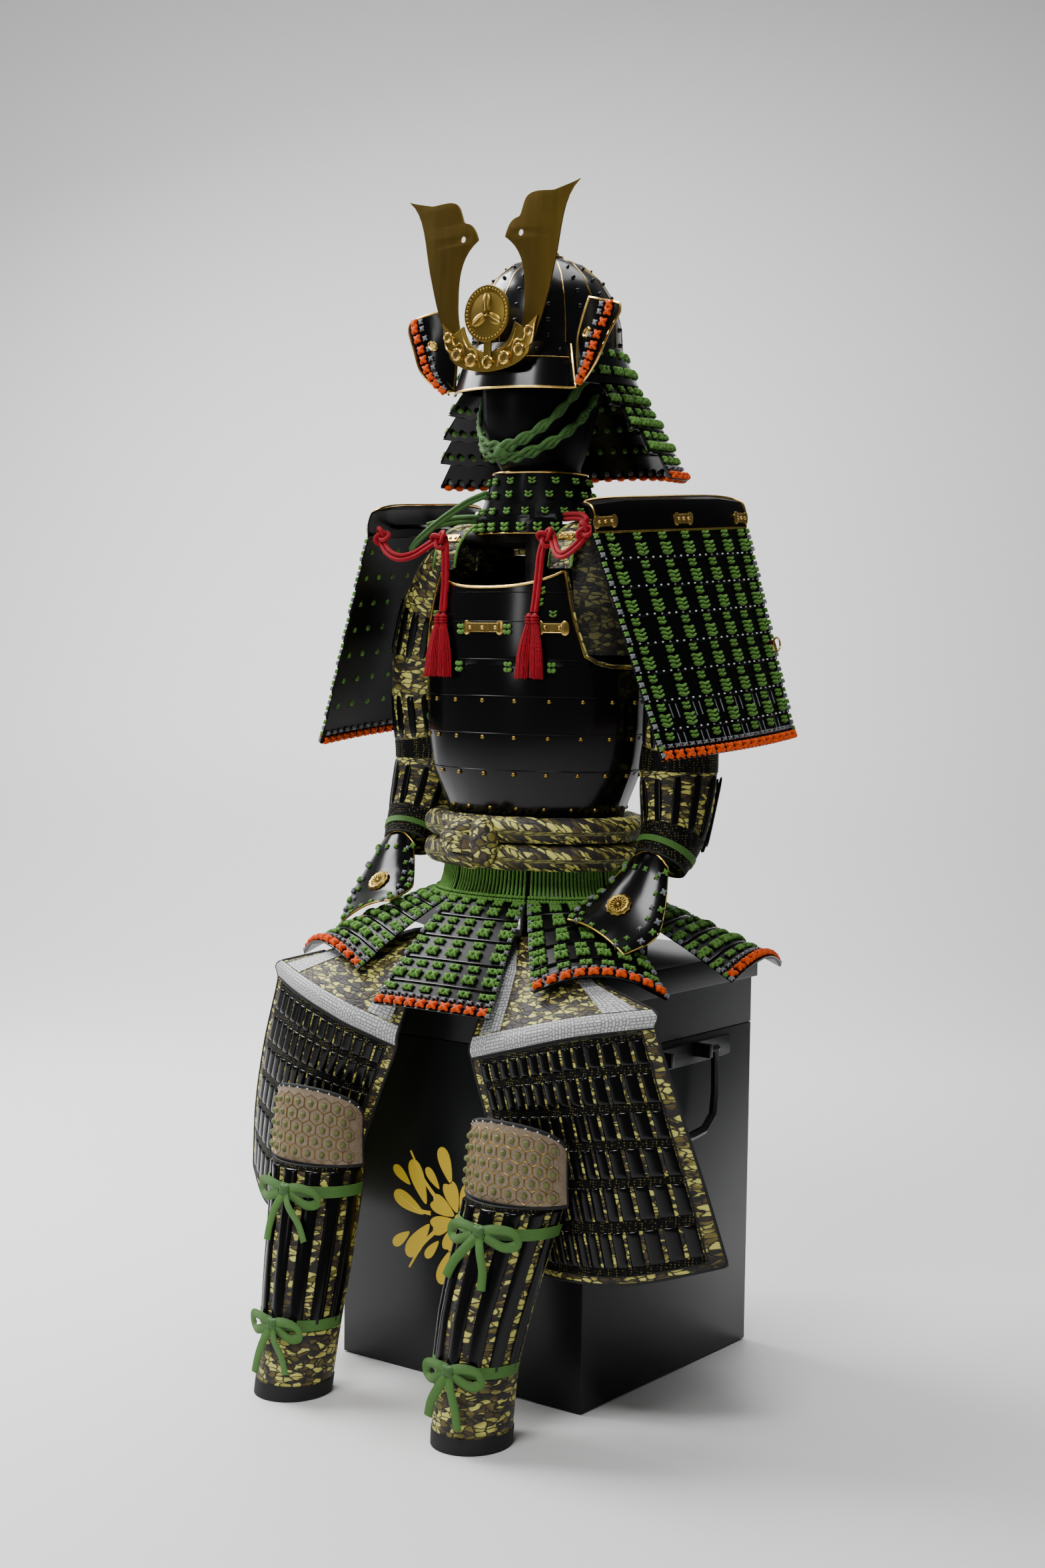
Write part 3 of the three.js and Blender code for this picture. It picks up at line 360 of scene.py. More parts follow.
LACQUER = Finish("Lacquer", (0.0022, 0.0022, 0.0026), 0.18, shine=0.24)
LAME_BLACK = Finish("LacquerLame", (0.0018, 0.0018, 0.0022), 0.34, shine=0.1)
BOWL_BLACK = Finish("LacquerBowl", (0.0035, 0.004, 0.0055), 0.22, coat=0.12, shine=0.3)
SATIN = Finish("LacquerBox", (0.0035, 0.004, 0.0045), 0.32, shine=0.26)
PLASTIC = Finish("HeadBlack", (0.0022, 0.0022, 0.0026), 0.42, shine=0.1)
IRON = Finish("BlackIron", (0.012, 0.012, 0.014), 0.38, 0.4)
TIMBER = Finish("StandTimber", (0.03, 0.022, 0.016), 0.5, kind=Surface.GRAIN, dark=(0.012, 0.009, 0.007),
                size=60.0)
GILT = Finish("Gilt", (0.78, 0.53, 0.15), 0.26, 1.0, kind=Surface.BRUSHED, dark=(0.48, 0.3, 0.075),
              size=260.0, relief=0.00012)
OLD_GILT = Finish("GiltDark", (0.3, 0.2, 0.04), 0.36, 1.0, kind=Surface.BRUSHED, dark=(0.25, 0.165, 0.033),
                  size=90.0,
                  relief=0.00004)
HORN_GILT = Finish("GiltHorn", (0.18, 0.115, 0.02), 0.33, 1.0, kind=Surface.BRUSHED,
                   dark=(0.145, 0.09, 0.016), size=90.0,
                   relief=0.00004)
GOLD_LEAF = Finish("GoldLeaf", (0.72, 0.5, 0.03), 0.45, 0.25)
# In the silk finishes the dark colour paints the shade in the grooves between the threads.
GREEN = Finish("SilkGreen", (0.24, 0.56, 0.085), 0.7, kind=Surface.SILK, dark=(0.025, 0.085, 0.012),
               size=420.0,
               relief=0.0009, shine=0.3)
ORANGE = Finish("SilkOrange", (1.0, 0.12, 0.0), 0.6, kind=Surface.SILK, dark=(0.6, 0.04, 0.0), size=300.0,
                relief=0.0007, shine=0.2)
SILVER = Finish("SilkSilver", (0.42, 0.45, 0.48), 0.4, kind=Surface.SILK, dark=(0.02, 0.022, 0.025),
                size=380.0,
                relief=0.0008)
WHITE = Finish("SilkWhite", (0.72, 0.74, 0.75), 0.6)
CRIMSON = Finish("SilkCrimson", (0.55, 0.0, 0.016), 0.55, kind=Surface.SILK, dark=(0.18, 0.0, 0.006),
                 size=460.0,
                 relief=0.0008, shine=0.2)
DARK_GREEN = Finish("SilkDarkGreen", (0.085, 0.24, 0.035), 0.7, kind=Surface.SILK, dark=(0.015, 0.06, 0.01),
                    size=420.0,
                    relief=0.0009)
OLIVE = Finish("SilkOlive", (0.2, 0.21, 0.05), 0.5, kind=Surface.SILK, dark=(0.07, 0.08, 0.02), size=420.0,
               relief=0.0004)
RIBBON = Finish("RibbonGreen", (0.1, 0.26, 0.035), 0.65, kind=Surface.RIBBED, dark=(0.03, 0.1, 0.014),
                size=330.0,
                relief=0.0006)
BROCADE = Finish("Brocade", (0.6, 0.56, 0.12), 0.6, kind=Surface.BROCADE, dark=(0.006, 0.004, 0.002),
                 size=95.0,
                 relief=0.0007)
# A darker copy of the brocade: painted shade for the lining inside the armholes.
SHADED_BROCADE = Finish("BrocadeDim", (0.11, 0.1, 0.028), 0.7, kind=Surface.BROCADE,
                     dark=(0.002, 0.002, 0.001), size=95.0,
                     relief=0.0006)
FRET = Finish("BrocadeFret", (0.62, 0.63, 0.63), 0.5, kind=Surface.FRET, dark=(0.2, 0.2, 0.2), size=58.0,
              relief=0.0004)
MAIL = Finish("Mail", (0.13, 0.115, 0.035), 0.6, 0.0, kind=Surface.MAIL, dark=(0.002, 0.002, 0.002),
              size=300.0,
              relief=0.0012, shine=0.1)
LEATHER = Finish("LeatherTan", (0.25, 0.185, 0.12), 0.6, kind=Surface.GRAIN, dark=(0.18, 0.13, 0.085),
                 size=300.0,
                 relief=0.0002)
BLACK_CLOTH = Finish("ClothBlack", (0.006, 0.006, 0.006), 0.8)
FLOOR = Finish("Floor", (0.8, 0.8, 0.8), 0.5)


# Geometry helpers


def vec(*values: float) -> Array:
    """Returns a point or direction of the given numbers."""
    return np.array(values, float)


def unit(v: Array) -> Array:
    """Returns a direction at length one."""
    return v / max(float(np.linalg.norm(v)), 1e-9)


def lerp(a: float, b: float, t: float) -> float:
    """Returns the value between a and b at share t."""
    return a + (b - a) * t


def turns(count: int) -> list[float]:
    """Returns count even angles round a circle, in radians."""
    return list(np.linspace(0, math.tau, count + 1)[:-1])


def row_at(table: Sequence[tuple], column: int, value: float) -> tuple:
    """A table's row where one column has a value, by a Catmull-Rom spline.

    Args:
        table: rows of numbers.
        column: the column that is read.
        value: its value.

    Returns:
        The blended row.
    """
    rising = table[-1][column] > table[0][column]
    i = 0
    while i < len(table) - 2 and (
        table[i + 1][column] < value if rising else table[i + 1][column] > value
    ):
        i += 1
    span = table[i + 1][column] - table[i][column]
    return blend_rows(table, i + min(max((value - table[i][column]) / span, 0.0), 1.0))


def blend_rows(table: Sequence[tuple], at: float) -> tuple:
    """Reads a table between its rows by a Catmull-Rom spline.

    Args:
        table: rows of numbers.
        at: fractional row number.

    Returns:
        The blended row.
    """
    i = min(max(int(math.floor(at)), 0), len(table) - 2)
    t = at - i
    a, b = np.array(table[i], float), np.array(table[i + 1], float)
    before = np.array(table[max(i - 1, 0)], float)
    after = np.array(table[min(i + 2, len(table) - 1)], float)
    m0, m1 = (b - before) / 2, (after - a) / 2
    t2, t3 = t * t, t * t * t
    return tuple((2 * t3 - 3 * t2 + 1) * a + (t3 - 2 * t2 + t) * m0 + (3 * t2 - 2 * t3) * b + (t3 - t2) * m1)


def blend_linear(table: Sequence[tuple], at: float) -> tuple:
    """Reads a table between its rows by straight lines.

    Args:
        table: rows of numbers.
        at: fractional row number.

    Returns:
        The blended row.
    """
    i = min(max(int(math.floor(at)), 0), len(table) - 2)
    a, b = np.array(table[i], float), np.array(table[i + 1], float)
    return tuple(a + (b - a) * (at - i))


def oval(angle: float, a: float, b: float, cy: float, z: float, cx: float = 0.0) -> Array:
    """Returns a point of an ellipse in plan, by its angle in degrees from the front."""
    turn = math.radians(angle)
    return vec(cx + a * math.sin(turn), cy - b * math.cos(turn), z)


def smooth_path(points: Sequence[Array], count: int) -> list[Array]:
    """Returns count + 1 points of a Catmull-Rom line through points."""
    rows = [tuple(p) for p in points]
    return [np.array(blend_rows(rows, t)) for t in np.linspace(0, len(rows) - 1, count + 1)]


@dataclass(frozen=True)
class Patch:
    """A curved surface given by a function of two shares.

    Args:
        at: the point at (u, v).
        inside: a point behind the surface, which tells out from in.
    """

    at: Callable[[float, float], Array]
    inside: Array

    def frame(self, u: float, v: float, e: float = 2e-3) -> tuple[Array, Array, Array, Array]:
        """Measures the surface at a point.

        Args:
            u: its share across.
            v: its share down.
            e: the shares' step.

        Returns:
            The point, and the directions across, down and out.
        """
        p = self.at(u, v)
        across = unit(self.at(u + e, v) - self.at(u - e, v))
        down = unit(self.at(u, v + e) - self.at(u, v - e))
        out = unit(np.cross(across, down))
        if float(out @ (p - self.inside)) < 0:
            out = -out
        return p, across, down, out

    def lifted(self, u: float, v: float, lift: float) -> Array:
        """Returns the point at (u, v) raised off the surface by lift."""
        p, _, _, out = self.frame(u, v)
        return p + out * lift

    def baked(self, u_end: float, v_end: float, columns: int, rows: int) -> "Patch":
        """Reads the surface into a fine grid, which is quicker to ask.

        Args:
            u_end: the last u, from 0.
            v_end: the last v, from 0.
            columns: the grid's steps along u.
            rows: the grid's steps along v.

        Returns:
            The same surface, read from the grid.
        """
        table = np.array([[self.at(u_end * c / columns, v_end * r / rows) for c in range(columns + 1)]
                          for r in range(rows + 1)])

        def at(u: float, v: float) -> Array:
            """Returns the grid's point, blended between its corners."""
            x, y = u / u_end * columns, v / v_end * rows
            c, r = min(max(int(x), 0), columns - 1), min(max(int(y), 0), rows - 1)
            x, y = x - c, y - r
            high = table[r, c] * (1 - x) + table[r, c + 1] * x
            return high * (1 - y) + (table[r + 1, c] * (1 - x) + table[r + 1, c + 1] * x) * y

        return Patch(at, self.inside)

    def grid(self, us: Iterable[float], vs: Iterable[float], lift: float = 0.0) -> Array:
        """Returns a grid of raised points, rows down and columns across."""
        us = list(us)
        return np.array([[self.lifted(u, v, lift) for u in us] for v in vs])


@dataclass(frozen=True)
class Stamp:
    """A small shape's corners and faces, ready to be set down many times."""

    points: Array
    faces: tuple[tuple[int, ...], ...]


def shaped(add: Callable[[], object], *steps: Callable[[], object]) -> Stamp:
    """Shapes one small hard piece with the modelling tools.

    Args:
        add: adds the primitive.
        steps: edit mode steps on it.

    Returns:
        The shape as a stamp.
    """
    bpy.ops.object.select_all(action="DESELECT")
    add()
    made = bpy.context.object
    bpy.ops.object.transform_apply(location=True, rotation=True, scale=True)
    for step in steps:
        bpy.ops.object.mode_set(mode="EDIT")
        step()
        bpy.ops.object.mode_set(mode="OBJECT")
    points = np.array([v.co for v in made.data.vertices], float)
    faces = tuple(tuple(f.vertices) for f in made.data.polygons)
    mesh = made.data
    bpy.data.objects.remove(made)
    bpy.data.meshes.remove(mesh)
    return Stamp(points, faces)


def pick(test: Callable[[Vector, Vector], bool]) -> None:
    """Selects faces of the mesh in edit mode.

    Args:
        test: says yes to a face's middle and normal.
    """
    bpy.ops.mesh.select_all(action="DESELECT")
    bpy.ops.mesh.select_mode(type="FACE")
    bpy.ops.object.mode_set(mode="OBJECT")
    for face in bpy.context.object.data.polygons:
        face.select = test(face.center, face.normal)
    bpy.ops.object.mode_set(mode="EDIT")


def raise_top(inset: float, rise: float) -> Callable[[], None]:
    """Makes a step that insets the highest face and lifts it.

    Args:
        inset: width of the inset.
        rise: how far the face rises.

    Returns:
        The step.
    """

    def step() -> None:
        """Insets and lifts the face."""
        top = max(f.center.z for f in bpy.context.object.data.polygons)
        pick(lambda centre, normal: normal.z > 0.9 and centre.z > top - 1e-4)
        bpy.ops.mesh.inset(thickness=inset, depth=0)
        bpy.ops.transform.translate(value=(0, 0, rise))

    return step


def bevelled(width: float, segments: int = 2) -> Callable[[], None]:
    """Makes a step that rounds every edge.

    Args:
        width: the bevel's width.
        segments: its segments.

    Returns:
        The step.
    """

    def step() -> None:
        """Rounds the edges."""
        bpy.ops.mesh.select_all(action="SELECT")
        bpy.ops.mesh.bevel(offset=width, segments=segments, affect="EDGES")

    return step


def without_base() -> None:
    """Cuts away the lower half of the shape and closes the cut."""
    bpy.ops.mesh.select_all(action="SELECT")
    bpy.ops.mesh.bisect(plane_co=(0, 0, 0), plane_no=(0, 0, -1), clear_outer=True, use_fill=True)


@dataclass(frozen=True)
class StampSet:
    """The hard stamps of the object, each about one unit in radius and standing on z = 0."""

    rivet: Stamp
    flower: Stamp
    bar: Stamp
    plate: Stamp
    petal: Stamp

    @classmethod
    def make(cls) -> "StampSet":
        """Shapes the stamps from primitives.

        Returns:
            The stamps.
        """
        ops = bpy.ops.mesh
        flower = shaped(
            lambda: ops.primitive_cylinder_add(vertices=24, radius=1, depth=0.5, location=(0, 0, 0.25)),
            raise_top(0.12, 0.12), raise_top(0.3, -0.1), raise_top(0.1, 0.22), raise_top(0.16, 0.06),
        )
        petals = flower.points.copy()
        turn = np.arctan2(petals[:, 1], petals[:, 0])
        far = np.hypot(petals[:, 0], petals[:, 1]) > 0.5
        petals[far, :2] *= (1 - 0.1 * (np.cos(turn * 12) < 0))[far, None]
        return cls(
            rivet=shaped(lambda: ops.primitive_uv_sphere_add(segments=10, ring_count=6, radius=1),
                         without_base),
            flower=Stamp(petals, flower.faces),
            bar=shaped(lambda: ops.primitive_cube_add(size=2, location=(0, 0, 0)), bevelled(0.55, 3)),
            plate=shaped(
                lambda: ops.primitive_cube_add(size=2, location=(0, 0, 1)), raise_top(0.14, -0.5),
                bevelled(0.05, 1),
            ),
            petal=shaped(
                lambda: ops.primitive_cylinder_add(vertices=20, radius=1, depth=1, location=(0, 0, 0.5)),
                raise_top(0.2, 0.35),
            ),
        )


def take_up(made: bpy.types.Object) -> None:
    """Puts a new object in the scene, and makes it the only one selected.

    Args:
        made: the object.
    """
    bpy.context.scene.collection.objects.link(made)
    bpy.ops.object.select_all(action="DESELECT")
    made.select_set(True)
    bpy.context.view_layer.objects.active = made


def face_out(crease: float, merge: float = 0.0) -> None:
    """Turns the selected object's faces outwards and shades it smooth.

    Args:
        crease: the angle in degrees above which an edge stays sharp.
        merge: the distance in mm below which points are merged.
    """
    bpy.ops.object.mode_set(mode="EDIT")
    bpy.ops.mesh.select_all(action="SELECT")
    if merge:
        bpy.ops.mesh.remove_doubles(threshold=merge * MM)
    bpy.ops.mesh.normals_make_consistent(inside=False)
    bpy.ops.object.mode_set(mode="OBJECT")
    bpy.ops.object.shade_smooth_by_angle(angle=math.radians(crease))


class Cast:
    """Gathers mesh data piece by piece and builds it as one object."""

    def __init__(self) -> None:
        """Starts empty."""
        self.points: list[Array] = []
        self.faces: list[tuple[int, ...]] = []
        self.uvs: list[Array] = []
        self.slots: list[int] = []
        self.count = 0

    def add(self, points: Array, faces: Iterable[Sequence[int]], uv: Optional[Array] = None,
            slot: int = 0) -> None:
        """Adds a shape.

        Args:
            points: its points in mm.
            faces: its faces.
            uv: UV in metres of each point.
            slot: its finish's number.
        """
        base = self.count
        self.points.append(points)
        self.uvs.append(uv if uv is not None else np.zeros((len(points), 2)))
        for face in faces:
            self.faces.append(tuple(base + i for i in face))
            self.slots.append(slot)
        self.count += len(points)

    def wall(self, inner: Array, outer: Array, closed: bool = False, slot: int = 0,
             start: tuple[float, float] = (0.0, 0.0)) -> None:
        """Adds a closed wall between two grids, with its own UV in metres.

        Args:
            inner: grid of inner points, rows by columns.
            outer: grid of outer points.
            closed: True if the columns run round a ring.
            slot: its finish's number.
            start: where its UV begins.
        """
        rows, cols = inner.shape[:2]
        n = rows * cols
        across = np.linalg.norm(np.diff(outer, axis=1), axis=2).mean(axis=0)
        down = np.linalg.norm(np.diff(outer, axis=0), axis=2).mean(axis=1)
        us = start[0] + np.concatenate([[0], np.cumsum(across)]) * MM
        vs = start[1] + np.concatenate([[0], np.cumsum(down)]) * MM
        uv = np.array([[u, v] for v in vs for u in us])

        def at(skin: int, r: int, c: int) -> int:
            """Returns a point's number."""
            return skin * n + r * cols + c % cols

        faces = []
        span = cols if closed else cols - 1
        for c in range(span):
            for r in range(rows - 1):
                faces.append((at(0, r, c), at(0, r + 1, c), at(0, r + 1, c + 1), at(0, r, c + 1)))
                faces.append((at(1, r, c), at(1, r, c + 1), at(1, r + 1, c + 1), at(1, r + 1, c)))
            faces.append((at(0, 0, c), at(0, 0, c + 1), at(1, 0, c + 1), at(1, 0, c)))
            last = rows - 1
            faces.append((at(0, last, c), at(1, last, c), at(1, last, c + 1), at(0, last, c + 1)))
        if not closed:
            for r in range(rows - 1):
                faces.append((at(0, r, 0), at(1, r, 0), at(1, r + 1, 0), at(0, r + 1, 0)))
                last = cols - 1
                faces.append((at(0, r, last), at(0, r + 1, last), at(1, r + 1, last), at(1, r, last)))
        self.add(np.vstack([inner.reshape(-1, 3), outer.reshape(-1, 3)]), faces, np.vstack([uv, uv]), slot)

    def tube(self, path: Sequence[Array], radius: float | Callable[[float], float], sides: int = 8,
             closed: bool = False, flat: float = 1.0, face: Optional[Array] = None, slot: int = 0) -> None:
        """Adds a tube along a path.

        Args:
            path: its centre line.
            radius: its radius, or a function of the share along it.
            sides: sides round it.
            closed: True if it runs in a ring.
            flat: its thickness as a share of its width.
            face: the direction that a flat tube faces.
            slot: its finish's number.
        """
        pts = np.array(path)
        count = len(pts)
        ahead = np.roll(pts, -1, axis=0) if closed else np.vstack([pts[1:], pts[-1:]])
        back = np.roll(pts, 1, axis=0) if closed else np.vstack([pts[:1], pts[:-1]])
        along = [unit(t) for t in ahead - back]
        side = unit(np.cross(along[0], face if face is not None else vec(0.31, 0.2, 0.93)))
        angles = np.arange(sides) / sides * math.tau
        rings, uv, run = [], [], 0.0
        for i, (p, t) in enumerate(zip(pts, along)):
            side = unit(np.cross(t, face)) if face is not None else unit(side - t * float(side @ t))
            up = np.cross(side, t)
            r = radius(i / max(count - 1, 1)) if callable(radius) else radius
            rings.append(p + r * (np.cos(angles)[:, None] * side + flat * np.sin(angles)[:, None] * up))
            run += float(np.linalg.norm(p - pts[i - 1])) if i else 0.0
            uv += [[run * MM, k / sides * r * 6 * MM] for k in range(sides)]
        faces = []
        for i in range(count if closed else count - 1):
            j = (i + 1) % count
            for s in range(sides):
                t = (s + 1) % sides
                faces.append((i * sides + s, i * sides + t, j * sides + t, j * sides + s))
        if not closed:
            faces.append(tuple(range(sides))[::-1])
            faces.append(tuple((count - 1) * sides + s for s in range(sides)))
        self.add(np.vstack(rings), faces, np.array(uv), slot)

    def blob(self, centre: Array, x: Array, y: Array, z: Array, wide: int = 8, high: int = 5,
             slot: int = 0) -> None:
        """Adds an ellipsoid.

        Args:
            centre: its centre.
            x: its first half axis.
            y: its second half axis.
            z: its third half axis.
            wide: its sides.
            high: its rows.
            slot: its finish's number.
        """
        points, faces = [centre + z], []
        for r in range(1, high):
            a = math.pi * r / high
            for c in range(wide):
                t = math.tau * c / wide
                points.append(centre + z * math.cos(a) + math.sin(a) * (x * math.cos(t) + y * math.sin(t)))
        points.append(centre - z)
        last = len(points) - 1
        for c in range(wide):
            d = (c + 1) % wide
            faces.append((0, 1 + c, 1 + d))
            faces.append((last, last - wide + d, last - wide + c))
            for r in range(high - 2):
                a, b = 1 + r * wide, 1 + (r + 1) * wide
                faces.append((a + c, b + c, b + d, a + d))
        self.add(np.array(points), faces, slot=slot)

    def ball(self, centre: Array, half: Point, wide: int = 6, high: int = 4, slot: int = 0) -> None:
        """Adds an ellipsoid with level axes, of the given half sizes."""
        x, y, z = half
        self.blob(centre, vec(x, 0, 0), vec(0, y, 0), vec(0, 0, z), wide, high, slot)

    def stamp(self, shape: Stamp, centre: Array, x: Array, y: Array, z: Array, slot: int = 0) -> None:
        """Sets down a stamp at a place, with three axes and their lengths."""
        self.add(centre + shape.points @ np.array([x, y, z]), shape.faces, slot=slot)

    def build(self, name: str, finishes: Sequence[Finish], body: Optional[str] = "root",
              crease: float = 40.0) -> bpy.types.Object:
        """Builds the object.

        Args:
            name: the piece's name.
            finishes: its finishes, in slot order.
            body: the body that it rides on.
            crease: the angle in degrees above which an edge stays sharp.

        Returns:
            The object.
        """
        mesh = bpy.data.meshes.new(name)
        mesh.from_pydata((np.vstack(self.points) * MM).tolist(), [], self.faces)
        uv = np.vstack(self.uvs)
        layer = mesh.uv_layers.new(name="UVMap")
        corner = np.zeros(len(mesh.loops), np.int32)
        mesh.loops.foreach_get("vertex_index", corner)
        layer.data.foreach_set("uv", uv[corner].astype(np.float32).ravel())
        for finish in finishes:
            mesh.materials.append(finish.material())
        mesh.polygons.foreach_set("material_index", np.array(self.slots, np.int32))
        made = bpy.data.objects.new(name, mesh)
        take_up(made)
        face_out(crease)
        if body:
            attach(made, body)
        return made


class Side(Enum):
    """The armour's own left and right, with the sign of X there."""

    LEFT = 1
    RIGHT = -1

    @property
    def label(self) -> str:
        """The side's word in node names."""
        return self.name.lower()

    @property
    def title(self) -> str:
        """The side's word in piece names."""
        return self.name.title()

    def at(self, p: Array) -> Array:
        """Returns a left-hand point on this side."""
        return p * vec(self.value, 1, 1)


def log(piece: bpy.types.Object) -> bpy.types.Object:
    """Reports a finished piece and returns it."""
    LOG.info("%6.1f s built %s: %d faces", time.perf_counter() - START, piece.name,
             len(piece.data.polygons))
    return piece


def stand_for(piece: bpy.types.Object, slot: str, *nodes: str) -> bpy.types.Object:
    """Hides the frame's solids that a piece stands for, and reports the piece.

    Args:
        piece: the piece.
        slot: not used.
        *nodes: the solids' names.

    Returns:
        The piece.
    """
    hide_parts(*nodes)
    return log(piece)


# Camera, light and floor


@dataclass(frozen=True)
class Studio:
    """The camera of the photograph and a soft studio round the object.

    Args:
        place: the camera's place in metres.
        azimuth: its turn about Z in degrees.
        pitch: how far it looks down.
        roll: its tilt.
        lens: its focal length in mm, on a sensor of 36 mm.
        lights: name, place, aim, size in metres and power in watts of each soft box.
        profile: the floor's line behind the object, by distance and height in metres.
    """

    place: Point = (1.7511, -2.4143, 0.9678)
    azimuth: float = 36.82
    pitch: float = 3.57
    roll: float = 0.85
    lens: float = 50.0
    lights: tuple[tuple, ...] = (
        ("Key", (0.5, -1.9, 3.3), (0, 0, 0.8), (1.0, 0.8), 72),
        ("Front", (-0.5, -3.2, 1.7), (0, 0, 1.0), (0.35, 1.4), 12),
        ("Top", (-0.3, 0.9, 3.7), (-0.2, 0.3, 0), (2.2, 2.0), 66),
        ("Backdrop", (-1.5, 1.6, 1.9), (-3.0, 4.2, 0.1), (2.6, 1.0), 44),
        ("Floor", (-1.9, -0.2, 2.6), (-1.2, 0.2, 0), (1.6, 1.6), 170),
    )
    profile: tuple[tuple[float, float], ...] = (
        (-4.5, 0.0), (1.5, 0.0), (3.0, 0.0), (3.8, 0.25), (4.2, 0.9), (4.3, 2.5), (4.3, 7.0),
    )

    def camera(self) -> None:
        """Sets up the camera."""
        data = bpy.data.cameras.new("Camera")
        data.lens = self.lens
        data.sensor_width = 36.0
        data.sensor_fit = "AUTO"
        made = bpy.data.objects.new("Camera", data)
        az, pitch, roll = map(math.radians, (self.azimuth, self.pitch, self.roll))
        ahead = Vector((-math.sin(az) * math.cos(pitch), math.cos(az) * math.cos(pitch), -math.sin(pitch)))
        level = Vector((math.cos(az), math.sin(az), 0))
        above = level.cross(ahead)
        right = level * math.cos(roll) + above * math.sin(roll)
        up = above * math.cos(roll) - level * math.sin(roll)
        turn = Matrix((right, up, -ahead)).transposed().to_4x4()
        made.matrix_world = Matrix.Translation(self.place) @ turn
        bpy.context.scene.collection.objects.link(made)
        bpy.context.scene.camera = made

    def light(self, name: str, place: Sequence[float], aim: Sequence[float], size: tuple[float, float],
              power: float) -> None:
        """Adds a soft box.

        Args:
            name: its name.
            place: its place in metres.
            aim: the point that it faces.
            size: its size in metres.
            power: its power in watts.
        """
        data = bpy.data.lights.new(name, "AREA")
        data.shape = "RECTANGLE"
        data.size, data.size_y = size
        data.energy = power
        made = bpy.data.objects.new(name, data)
        made.location = place
        made.rotation_mode = "QUATERNION"
        made.rotation_quaternion = (Vector(aim) - Vector(place)).to_track_quat("-Z", "Y")
        bpy.context.scene.collection.objects.link(made)

    def build(self) -> None:
        """Sets up the camera, lights, world and floor."""
        self.camera()
        for row in self.lights:
            self.light(*row)
        world = bpy.data.worlds.new("Studio")
        world.use_nodes = True
        world.node_tree.nodes["Background"].inputs["Color"].default_value = (0.74, 0.75, 0.75, 1)
        world.node_tree.nodes["Background"].inputs["Strength"].default_value = 0.13
        bpy.context.scene.world = world
        floor = Cast()
        az = math.radians(self.azimuth)
        ahead, level = vec(-math.sin(az), math.cos(az), 0), vec(math.cos(az), math.sin(az), 0)
        top = np.array([
            [(ahead * d + level * x) * 1000 + vec(0, 0, z * 1000 - 1) for x in (-7.0, 0.0, 7.0)]
            for d, z in smooth_path(self.profile, 35)
        ])
        floor.wall(top - vec(0, 0, 8), top)
        floor.build("Floor", [FLOOR], None, 60)


# Lacing, fittings and rims


def steps(first: float, last: float, count: int) -> list[float]:
    """Returns count + 1 even values from first to last."""
    return [lerp(first, last, i / count) for i in range(count + 1)]


def border(us: tuple[float, float, int], vs: tuple[float, float, int], ends: tuple[float, float],
           rows: tuple[float, float]) -> list[tuple[float, float]]:
    """Draws the closed line round a patch.

    Args:
        us: first and last u of the level parts, and their steps.
        vs: first and last v of the upright parts, and their steps.
        ends: u of the last and of the first upright part.
        rows: v of the first and of the last level part.

    Returns:
        Its points.
    """
    first, last, across = us
    top, foot, down = vs
    return [
        *((u, rows[0]) for u in steps(first, last, across)),
        *((ends[1], v) for v in steps(top, foot, down)),
        *((u, rows[1]) for u in steps(last, first, across)),
        *((ends[0], v) for v in steps(foot, top, down)),
    ]


